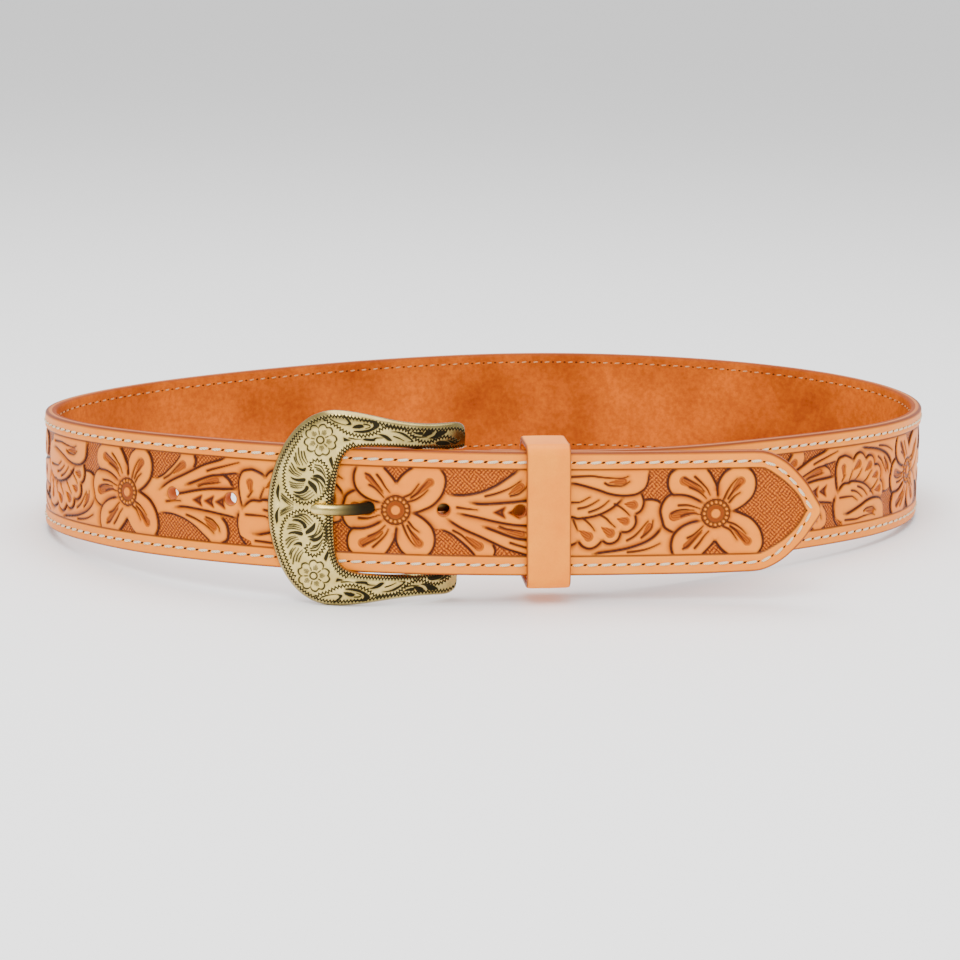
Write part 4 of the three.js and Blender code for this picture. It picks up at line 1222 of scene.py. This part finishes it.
def build_keeper():
    """A leather band 16 mm wide bent into a loop with rounded corners, its section a rounded strip."""
    from_hole, wall, width, corner = 63.2, 2.0, 16.0, 3.4
    place, turn = local_frame(HOLE_S + from_hole)
    out_lo, out_hi = -18.522 - wall / 2, 0.6 + wall / 2
    low, high = -3 - wall / 2, WIDTH + 0.9 + wall / 2
    loop = []
    for x, y, start in ((out_hi, high, 0), (out_lo, high, 90), (out_lo, low, 180), (out_hi, low, 270)):
        x += corner if x < 0 and x == out_lo else -corner
        y += corner if y == low else -corner
        a = np.radians(start + np.linspace(0, 90, 13))
        loop.append(np.stack([x + corner * np.cos(a), y + corner * np.sin(a)], 1))
    loop = np.vstack(loop)
    closed = np.vstack([loop, loop[:1]])
    length = run_length(closed)
    at = np.linspace(0, length[-1], 161)[:-1]
    at = np.unique(np.concatenate([at, length[:-1]]))
    middle = np.stack([np.interp(at, length, closed[:, c]) for c in (0, 1)], 1)
    along = np.roll(middle, -1, 0) - np.roll(middle, 1, 0)
    along /= np.hypot(*along.T)[:, None]
    outward = np.stack([along[:, 1], -along[:, 0]], 1)
    k = np.linspace(0, 2 * np.pi, 41)[:-1]
    across = width / 2 * np.sign(np.cos(k)) * np.abs(np.cos(k)) ** 0.16
    level = wall / 2 * np.sign(np.sin(k)) * np.abs(np.sin(k)) ** 0.55
    level = level + 0.1 * (1 - (across / (width / 2)) ** 2) * (level > 0)
    o = middle[:, 0][:, None] + outward[:, 0][:, None] * level
    h = middle[:, 1][:, None] + outward[:, 1][:, None] * level
    u = across[None, :] - 0.08 * o - 0.03 * h
    points = place + u[..., None] * turn[0] + o[..., None] * turn[1] + h[..., None] * turn[2]
    edge = np.broadcast_to(0.9 * soft_step(0.9, 0.985, np.abs(across) / (width / 2)), o.shape)
    faces = [grid_quads(len(at), len(k), True, True)]
    piece = make("keeper", points, faces, KEEPER, values={"edge": edge})
    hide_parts("keeper_loop")


build_keeper()


# Buckle. Columns of the frame's rows: outer u and v, inner u and v, from the end of the upper leg round
FRAME_ROWS = np.array([
    (32.6, 27.9, 32.6, 23.1), (32.2, 29.6, 32.1, 22.8), (30.8, 30.8, 30.4, 22.7), (28.2, 31.4, 27.6, 22.7),
    (23, 31.3, 23, 22.8), (18, 31.3, 18, 23), (12.5, 31.7, 12.5, 23.1), (7, 32.4, 7.5, 23.1),
    (2, 33.3, 2.5, 23),
    (-3, 34.2, -2.5, 22.8), (-7.5, 34.8, -6, 22.3), (-11.5, 35.1, -8.5, 21.4), (-15.5, 35, -10.3, 19.8),
    (-19.5, 34, -11.4, 17.8), (-23.7, 31.8, -12.1, 15.5), (-27.3, 28.6, -12.6, 13),
    (-30.4, 24.6, -12.9, 10.7),
    (-33.1, 19.8, -13.2, 8.4), (-35.3, 14.2, -13.4, 5.8), (-36.9, 7.4, -13.5, 3), (-37.5, 0, -13.5, 0),
])
# Side curve of the frame. Columns: u, middle of the casting out from the strap's face, thickness
FRAME_SIDE = np.array([
    (-38.5, 1.65, 2.2), (-37.5, 1.7, 2.2), (-30, 2.3, 2.8), (-20, 2.5, 3), (-10, 2.2, 3), (0, 1.1, 2.9),
    (8, -0.8, 2.8), (16, -3.8, 2.8), (23, -7.1, 2.8), (28.5, -10.3, 2.8), (31.5, -12.3, 2.6),
    (33.5, -13.6, 2.6),
])
# The buckle sits turned by a little about a place on the strap, given from the used hole and the lower edge
TILT = math.radians(2)
PIVOT = (5, 22.3)


def tilted(u, v):
    """Place on the strap, (u, h) from the used hole, of a place (u, v) on the buckle."""
    du = u - PIVOT[0]
    run, rise = du * math.cos(TILT) + v * math.sin(TILT), v * math.cos(TILT) - du * math.sin(TILT)
    return PIVOT[0] + run, PIVOT[1] + rise


# Engraving of the buckle's upper half, as places (u, v); the lower half mirrors it.
# Zigzag lines, solid leaf shaped cuts, and fine hatch lines
ENGRAVED_ZIGZAGS = [
    [(-25.3, 25.8), (-26.8, 23.8), (-28.7, 20.1), (-30.3, 16.3), (-31.2, 12.7), (-31.1, 8.2),
     (-29.7, 4.5), (-26.6, 2.1), (-23.6, 1.3), (-21.3, 1.9), (-17.9, 3.8), (-15.9, 7.3), (-15.6, 11.2),
     (-16, 14.2), (-17.6, 16.5), (-19.7, 17.2), (-21.5, 16.4), (-22.1, 14.8), (-21.3, 13.4), (-20.3, 13)],
    [(-18, 33), (-17.7, 32), (-16.4, 31), (-13.8, 30), (-11.4, 28.4), (-8.8, 27.4), (-5.4, 26.9),
     (-2.4, 27.5), (0.1, 28.5), (1.5, 29.7), (3.4, 30.4), (6.3, 30.1), (9.9, 29.6), (12.1, 27.8),
     (14.3, 26), (16.7, 25.2), (19.1, 25.2), (22.1, 26.4), (24.9, 26.8), (27.2, 26.1), (30, 24.4)],
]
ENGRAVED_LEAVES = [
    [(-33.3, 7.3), (-34, 4.9), (-33.9, 3.4), (-33, 1.7), (-32.2, 0.8), (-32.7, 2.3), (-32.8, 4.1),
     (-32.7, 6.2)],
    [(-14.8, 19), (-15.7, 18), (-15.2, 16.3), (-14.4, 14.7), (-14.2, 16.6)],
    [(-26.9, 14.2), (-24.8, 13.8), (-23.5, 14.2), (-23.8, 12.8), (-25.4, 12.9)],
    [(-29, 10.5), (-26.7, 10), (-23.7, 10.4), (-23.7, 9.1), (-26.1, 8.9), (-28.1, 9.5)],
    [(-27.8, 5.3), (-25.3, 5.5), (-23.9, 6.4), (-23.1, 7.8), (-22.1, 7.1), (-23, 5.5), (-25, 4.5),
     (-26.8, 4.6)],
    [(-21.4, 11.4), (-19.5, 12.2), (-17.7, 11.5), (-16.6, 10), (-16.4, 8), (-17.3, 9.5), (-18.7, 10.6),
     (-20, 10.9)],
    [(-22.4, 9.9), (-20.7, 9), (-19.4, 7.6), (-19.3, 5.2), (-20.6, 6.6), (-22.5, 8.6)],
    [(-11.9, 34), (-10.1, 33.1), (-8.7, 31.3), (-8.9, 30.6), (-10.7, 30.5), (-9.7, 31.3), (-10.6, 32.4),
     (-11.6, 33.3)],
    [(-2.6, 32.8), (-0.6, 32.5), (0.9, 31.2), (0.2, 30), (-2.1, 28.7), (-5.2, 28.1), (-7.5, 28.6),
     (-5, 28.9), (-2.5, 29.5), (-1.2, 30.6), (-1.9, 31.9), (-4.6, 32.2), (-5.2, 32.5)],
    [(-7.9, 30.4), (-6.2, 31), (-4.8, 30.9), (-4.7, 30), (-6.7, 29.5), (-7.8, 29.6)],
    [(0.3, 27.9), (2, 27.9), (3.9, 27.3), (5.5, 25.7), (4.2, 25.6), (2.9, 26.5), (1.4, 27.4)],
    [(-4.7, 25.7), (-3.6, 26.2), (-1.3, 26.2), (0.1, 26.7), (2.6, 26.6), (0.1, 26.2), (-0.7, 25.3),
     (-3.5, 25.3)],
    [(5.1, 28.9), (7.1, 29), (10, 28.2), (13.1, 25.4), (10.7, 25.3), (12.2, 25.7), (9.6, 27.4),
     (7.5, 28.4)],
    [(11.4, 29.6), (13.5, 28.8), (16, 28.8), (16.1, 27.7), (13.5, 28.1)],
    [(15.8, 27.2), (16.6, 28.1), (17.5, 29.1), (19.8, 29.4), (19.5, 28), (17.5, 27.2)],
    [(18.4, 26.5), (20.3, 27.3), (21.8, 28.9), (25.1, 28.8), (24.1, 27.7), (22.1, 26.7), (20.3, 26.2)],
    [(21, 24.8), (22.8, 25.4), (25.7, 25), (26.7, 23.9), (24.2, 23.7), (21.7, 24)],
    [(25.3, 25.6), (27.3, 25.2), (29.3, 24), (27.7, 24.1)],
    [(-11.2, 26.1), (-9.7, 25.6), (-8.6, 25.2), (-10, 24.8), (-10.9, 24.8)],
]
ENGRAVED_HATCH = [
    [(-26.5, 20.9), (-26.1, 18), (-24.7, 15.1)], [(-27.4, 19), (-27, 16.7), (-25.8, 14.9)],
    [(-25.4, 19.8), (-24.9, 17.5), (-23.4, 15.5)], [(-27.9, 17.6), (-27.5, 16.3), (-26.7, 15.1)],
    [(-24.5, 19.9), (-23.9, 17.9), (-23, 16.2)], [(-28.7, 15.3), (-27.1, 12.8), (-24.9, 11.7)],
    [(-29.3, 14.1), (-27.7, 12.1), (-25.3, 11)], [(-29.5, 12.8), (-28.1, 11.5), (-26.1, 10.6)],
    [(-29, 8.5), (-26.9, 8.1), (-24, 8.5)], [(-28.8, 7.6), (-26.9, 7.3), (-24.1, 7.8)],
    [(-28.5, 6.8), (-26.5, 6.6), (-24.4, 7)], [(-27.5, 4.1), (-24.4, 4), (-21.5, 6.2)],
    [(-26.7, 3.4), (-23.7, 3.3), (-20.6, 5.7)], [(-25.3, 2.6), (-22.6, 2.8), (-20.2, 4.8)],
    [(-20.4, 15.5), (-18.2, 15), (-16.6, 12.3)], [(-20.5, 14.7), (-18.4, 13.9), (-16.5, 11.4)],
    [(-19.7, 13.8), (-17.8, 12.9), (-16.3, 10.7)], [(-21.5, 10.6), (-19.1, 9.2), (-17.9, 5.3)],
    [(-20.6, 10.8), (-18.2, 9.2), (-17.1, 6)], [(-19.9, 10.7), (-17.6, 8.6), (-16.7, 6.9)],
    [(-31.8, 3.9), (-29.6, 2.4), (-27.3, 1.1)], [(-31.9, 3.1), (-29.9, 1.7), (-27.4, 0.4)],
    [(-31.7, 2.3), (-29.9, 1), (-28.3, 0)], [(-15.9, 32.1), (-13.6, 31.1), (-10.7, 30.5)],
    [(-8, 29.8), (-5.2, 30.4), (-4.6, 30.2), (-6, 29.6)], [(-7.5, 28.4), (-4.8, 28.2), (-2.3, 28.5)],
    [(-9.2, 26), (-6.9, 25.7), (-5.3, 25.8)], [(6, 27.2), (7.8, 26.6), (9.6, 25.7)],
    [(12.7, 27.3), (15.4, 26.9), (17.8, 27)], [(-4.4, 31.2), (-2.6, 30.9), (-2.4, 30.2), (-3.8, 29.7)],
]
ENGRAVED_FLOWER = (-19.0, 24.5, 5.9)


def engrave_flower(relief, x0, y0, size):
    """Five heart shaped petals: the outline's radius swells and is notched at each petal's middle."""
    part, x, y = relief.window(np.array([(x0, y0)]), size + 1)
    r = np.hypot(x - x0, y - y0)
    fifth = 2 * np.pi / 5
    turn = np.arctan2(y - y0, x - x0) - 1.15
    off = turn - np.round(turn / fifth) * fifth
    swell = np.cos(np.clip(off * 2.5, -1.57, 1.57)) ** 0.3
    rim = size * (0.52 + 0.48 * swell) * (1 - 0.15 * np.exp(-(off / 0.15) ** 2))
    line = 1 - soft_step(0.2, 0.46, np.abs(r - rim) * (0.55 + 0.45 * swell))
    spoke = (1 - soft_step(0.12, 0.34, r * np.abs(np.abs(off) - fifth / 2))) * (r > 1.2) * (r < size * 0.56)
    middle = 1 - soft_step(0.18, 0.42, np.abs(r - 1.25))
    comb = np.abs(np.abs(np.abs(off) - 0.15) - 0.08) * r
    marks = (1 - soft_step(0.09, 0.26, comb)) * (r > size * 0.36) * (r < size * (0.72 - 0.6 * np.abs(off)))
    inside_it = r < rim + 0.5
    cut = np.where(r < 1.9, middle, np.maximum.reduce([line, spoke, 0.8 * marks]))
    relief.sheets["cut"][part] = np.where(inside_it, cut, relief.sheets["cut"][part])


def engraving():
    """The hatching and the flower of the buckle's upper half as a sheet over (u, v)."""
    relief = Relief(-41, 36, -1, 38, HATCH_PITCH)
    for points in ENGRAVED_HATCH:
        line = rounded(points)
        part, x, y = relief.window(line, 0.8)
        away, _, share = near_line(line, x, y)
        relief.raise_to("cut", part, 1 - soft_step(0.18, 0.4, away / np.clip(1.4 - share, 0.5, 1)))
    engrave_flower(relief, *ENGRAVED_FLOWER)
    return relief


def close_to(line, u, v):
    """True where (u, v) is in the line's own box with 2 mm to spare."""
    lo, hi = line.min(0) - 2, line.max(0) + 2
    return (u > lo[0]) & (u < hi[0]) & (v > lo[1]) & (v < hi[1])


def leaf_distance(u, v):
    """Distance to the nearest engraved leaf's edge, less than 0 inside, and 2 where none is near."""
    nearest = np.full(u.shape, 2.0)
    for points in ENGRAVED_LEAVES:
        ring = rounded(points + points[:1])
        near = close_to(ring, u, v)
        away = near_line(ring, u[near], v[near])[0]
        nearest[near] = np.minimum(nearest[near], np.where(inside(ring, u[near], v[near]), -away, away))
    return nearest


def vine_place(u, v):
    """Length along the nearest vine and distance from it, left or right."""
    along, away = np.zeros(u.shape), np.full(u.shape, 9.0)
    for points in ENGRAVED_ZIGZAGS:
        line = rounded(points)
        near = close_to(line, u, v)
        far, side, share = near_line(line, u[near], v[near])
        length = run_length(line)[-1]
        ended = np.where((share <= 0) | (share >= 1), 9.0, side * far)
        closer = far < np.abs(away[near])
        along[near] = np.where(closer, share * length, along[near])
        away[near] = np.where(closer, ended, away[near])
    return along, away


ENGRAVED = engraving()


def build_buckle():
    """Frame cast as one curved band, domed and engraved, with the heel bar between the legs' ends."""
    upper = FRAME_ROWS.copy()
    upper[:, 3] -= 0.9 * soft_step(2, 22, upper[:, 2])
    rows = np.vstack([upper, FRAME_ROWS[-2::-1] * [1, -1, 1, -1]])
    fine = rounded(rows, 20)
    outer, inner = fine[:, :2], fine[:, 2:]
    band = np.hypot(*(outer - inner).T)
    run_out, run_in = run_length(outer), run_length(inner)
    share = 0.5 - 0.5 * np.cos(np.linspace(0.06, 0.94, 92) * np.pi)
    share = (share - share[0]) / (share[-1] - share[0])
    share = 0.3 * share + 0.7 * np.linspace(0, 1, 92)
    level = 0.5 - 0.7 * np.abs(2 * share - 1) ** 7
    back = np.array([(1, -0.38), (0.97, -0.48), (0.75, -0.5), (0.25, -0.5), (0.03, -0.48), (0, -0.38)])
    share_all = np.concatenate([share, back[:, 0]])
    level_all = np.concatenate([level, back[:, 1]])
    u = outer[:, :1] + (inner - outer)[:, :1] * share_all
    v = outer[:, 1:] + (inner - outer)[:, 1:] * share_all
    lu, lh = tilted(u, v)
    middle = hermite(FRAME_SIDE[:, 0], FRAME_SIDE[:, 1], u)
    thick = hermite(FRAME_SIDE[:, 0], FRAME_SIDE[:, 2], u)
    o = middle + level_all * thick
    face = np.arange(len(share_all)) < len(share)
    away_out = share_all * band[:, None]
    away_in = (1 - share_all) * band[:, None]
    up = np.abs(v)
    hatch = ENGRAVED.sample("cut", u, up) * face
    leaf = leaf_distance(u, up)
    vine_along, vine_away = vine_place(u, up)
    flower_u, flower_v, flower_size = ENGRAVED_FLOWER
    in_flower = np.hypot(u - flower_u, up - flower_v) < flower_size * 0.95
    vine_away = np.where(in_flower, 9, vine_away)
    # Painted shade: darker toward the legs' ends and more on the upper leg, along the outer and inner rims,
    # and on the back and sides. Tarnish: a little everywhere and a brown haze round the engraved leaves
    tarnish_and_painted_shade = 0.1 + 0.75 * soft_step(-6, 20, u) * (0.72 + 0.28 * np.sign(v))
    tarnish_and_painted_shade = np.maximum(tarnish_and_painted_shade, 0.68 * soft_step(5.5, 0.6, away_out) * (0.8 + 0.2 * soft_step(-10, 10, v)))
    tarnish_and_painted_shade = np.maximum(tarnish_and_painted_shade, 0.55 * soft_step(3.2, 0.2, away_in))
    tarnish_and_painted_shade = np.maximum(tarnish_and_painted_shade, 0.75 * soft_step(1.1, -0.1, leaf) * (0.35 + 0.5 * soft_step(-16, -4, u)))
    tarnish_and_painted_shade = np.where(face, tarnish_and_painted_shade, 0.85)
    o = o - face * 0.12 * np.maximum(hatch, soft_step(0.15, -0.15, leaf))
    whole = np.zeros(u.shape)
    values = {
        "patina_and_painted_shade": hatch, "tarnish_and_painted_shade": tarnish_and_painted_shade, "face": whole + face, "leaf": leaf, "vine_along": vine_along,
        "vine_away": vine_away, "rim_along": whole + run_out[:, None], "rim_away": away_out,
        "mouth_along": whole + run_in[:, None] * 1.15, "mouth_away": away_in,
        "second_along": whole + run_in[:, None] * 1.15 + 0.62, "second_away": np.where(u < -7, away_in, 9),
    }
    points = on_strap(HOLE_S + lu, o, lh)
    count = len(share_all)
    faces = [grid_quads(len(fine), count, wrap_columns=True),
             np.arange(count)[None, ::-1], np.arange(count)[None, :] + (len(fine) - 1) * count]
    piece = make("buckle", points, faces, BRASS, values=values)
    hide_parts("buckle_frame")
    bar_half, bar_radius = 25.4, np.full(9, 1.5)
    line = [BAR + [0, 0, HALF + z] for z in np.linspace(-bar_half, bar_half, 9)]
    rod(line, bar_radius, bar_radius, "heel_bar", BRASS, 24, np.full(9, 0.8))


def rod(line, thick, wide, name, metal, sides, tarnish_and_painted_shade, patina_and_painted_shade=0.0):
    """A closed rod along a line: thick is its radius in the flat of its bend, wide its radius in height."""
    line = np.asarray(line, float)
    along = np.gradient(line, axis=0)
    along /= np.linalg.norm(along, axis=1, keepdims=True)
    if abs(along[0][2]) > 0.9:
        across, over = np.array([[1.0, 0, 0]] * len(line)), np.array([[0, 1.0, 0]] * len(line))
    else:
        over = np.array([[0, 0, 1.0]] * len(line))
        across = np.cross(over, along)
        across /= np.linalg.norm(across, axis=1, keepdims=True)
    turn = np.arange(sides) * 2 * np.pi / sides
    points = (line[:, None] + across[:, None] * (np.cos(turn)[None, :] * thick[:, None])[..., None]
              + over[:, None] * (np.sin(turn)[None, :] * wide[:, None])[..., None])
    caps = np.stack([np.arange(sides)[::-1], np.arange(sides) + (len(line) - 1) * sides])
    faces = [grid_quads(len(line), sides, wrap_columns=True), caps]
    whole = np.zeros((len(line), sides))
    values = {"tarnish_and_painted_shade": whole + np.reshape(tarnish_and_painted_shade, (-1, 1)), "patina_and_painted_shade": whole + np.reshape(patina_and_painted_shade, (-1, 1))}
    return make(name, points, faces, metal, values=values)


build_buckle()

# Prong. Columns: u, out from the strap's face, half thickness, half width
PRONG = np.array([
    (-20.75, 6.1, 0.15, 0.15), (-20.6, 6.1, 0.7, 0.9), (-20.2, 6.1, 1.15, 1.4), (-19.2, 6.1, 1.6, 1.85),
    (-17, 6.1, 1.85, 2), (-13, 6, 1.85, 2.05), (-9.5, 5.1, 1.8, 2.1), (-6, 3.7, 1.75, 2.1),
    (-3.2, 1.3, 1.7, 2.05), (-0.6, -1.6, 1.6, 1.9), (3, -4.7, 1.5, 1.8), (7, -6.3, 1.2, 1.9),
    (14, -6.8, 1.1, 2), (20, -7.2, 1, 2.1),
    (25, -7.6, 1, 2.1),
])


def build_prong():
    """Flat rod from its rounded tip on the frame through the used hole, to a hook round the heel bar."""
    u = np.linspace(15, 45, 3001)
    path = on_strap(HOLE_S + u, 0.0, 0.0)
    reach = np.hypot(*(path[:, :2] - BAR[:2]).T)
    near = int(np.argmin(reach))
    turn = np.pi / 2 - np.linspace(0, 1, 14) * np.pi * 1.62
    hook_radius = 2.75
    hook = np.stack([u[near] + hook_radius * np.cos(turn), -reach[near] + hook_radius * np.sin(turn),
                     np.full(14, 1.0), np.full(14, 2.1)], 1)
    fine = rounded(np.vstack([PRONG, hook]), 6)
    line = on_strap(HOLE_S + fine[:, 0], fine[:, 1], HALF + HOLE_RISE)
    # Painted shade: the prong darkens past its middle and turns black where it goes down into the used hole,
    # fading under the strap
    tarnish_and_painted_shade = 0.1 + 0.9 * soft_step(-18, -9, fine[:, 0])
    patina_and_painted_shade = 0.95 * soft_step(-15, -4, fine[:, 0]) * (1 - 0.8 * soft_step(-1, 8, fine[:, 0]))
    piece = rod(line, np.maximum(fine[:, 2], 0.05), np.maximum(fine[:, 3], 0.05), "prong_rod", BRASS,
                20, tarnish_and_painted_shade, patina_and_painted_shade)
    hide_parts("prong")


build_prong()


def build_posts():
    """Two screw posts with plain round heads that hold the flap down."""
    for k, s in enumerate((15, 51.4)):
        place, turn = local_frame(s)
        inner = -(FLAP_DEPTH + LEATHER) - 0.5
        profile = np.array([
            (0.02, 1.3), (2, 1.28), (3.4, 1.15), (3.9, 0.9), (4, 0.52), (1.9, 0.5), (1.9, inner), (4, inner),
            (4, inner - 0.6), (3.6, inner - 1), (0.02, inner - 1.1),
        ])
        angle = np.arange(28) * 2 * np.pi / 28
        x = profile[:, :1] * np.cos(angle)
        z = profile[:, :1] * np.sin(angle)
        points = (place + x[..., None] * turn[0] + (z[..., None] + HALF) * turn[2]
                  + np.broadcast_to(profile[:, 1:], x.shape)[..., None] * turn[1])
        faces = [grid_quads(len(profile), 28, wrap_columns=True)]
        values = {"tarnish_and_painted_shade": np.full(x.size, 0.5)}
        piece = make(f"post_{k + 1}", points, faces, BRASS, values=values)
        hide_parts(f"fold_post_{k + 1}")


build_posts()


# Light, floor and camera

def build_stage():
    """A white sky, a pale floor and three square lamps that look at the belt's front."""
    scene = bpy.context.scene
    world = bpy.data.worlds.new("studio")
    scene.world = world
    world.use_nodes = True
    sky = world.node_tree.nodes["Background"]
    sky.inputs["Color"].default_value = (1, 1, 1, 1)
    sky.inputs["Strength"].default_value = 1.12
    mesh = bpy.data.meshes.new("floor")
    mesh.from_pydata([(-9, -3, 0), (9, -3, 0), (9, 15, 0), (-9, 15, 0)], [], [(0, 1, 2, 3)])
    floor = bpy.data.objects.new("floor", mesh)
    scene.collection.objects.link(floor)
    made, tree, shader, place = material("white_floor", 0.6)
    tone = new_node(tree, "ShaderNodeTexNoise", Vector=place, Scale=2.0).outputs["Fac"]
    white = mix_colour(tree, tone, (0.93, 0.93, 0.93), (0.95, 0.95, 0.95))
    tree.links.new(white, shader.inputs["Base Color"])
    mesh.materials.append(made)
    lamps = (("key", (-0.2, -0.95, 1.25), 0.7, 17.0), ("fill", (0.6, -1.1, 0.7), 0.9, 4.0),
             ("top", (0.0, 0.1, 1.3), 1.2, 22.0))
    for name, where, size, power in lamps:
        data = bpy.data.lights.new(name, "AREA")
        data.shape = "SQUARE"
        data.size = size
        data.energy = power
        lamp = bpy.data.objects.new(name, data)
        lamp.location = where
        way = -np.array(where) + [0, -0.05, 0.03]
        lamp.rotation_mode = "QUATERNION"
        lamp.rotation_quaternion = Vector(way).to_track_quat("-Z", "Y")
        scene.collection.objects.link(lamp)


build_stage()


def build_camera():
    """The camera that took the photo, from its fitted place and its right, down and forward directions."""
    data = bpy.data.cameras.new("camera")
    data.sensor_width = 36
    data.lens = 103.74
    data.clip_end = 30
    camera = bpy.data.objects.new("camera", data)
    right = (0.999648636, 0.005368213, 0.025957388)
    down = (0.026506316, -0.207528024, -0.977869897)
    forward = (0.000137472, 0.978214343, -0.207597398)
    place = (-0.006054, -1.082854, 0.248209)
    turn = Matrix([[right[i], -down[i], -forward[i], place[i]] for i in range(3)] + [[0, 0, 0, 1]])
    camera.matrix_world = turn
    bpy.context.scene.collection.objects.link(camera)
    bpy.context.scene.camera = camera


build_camera()
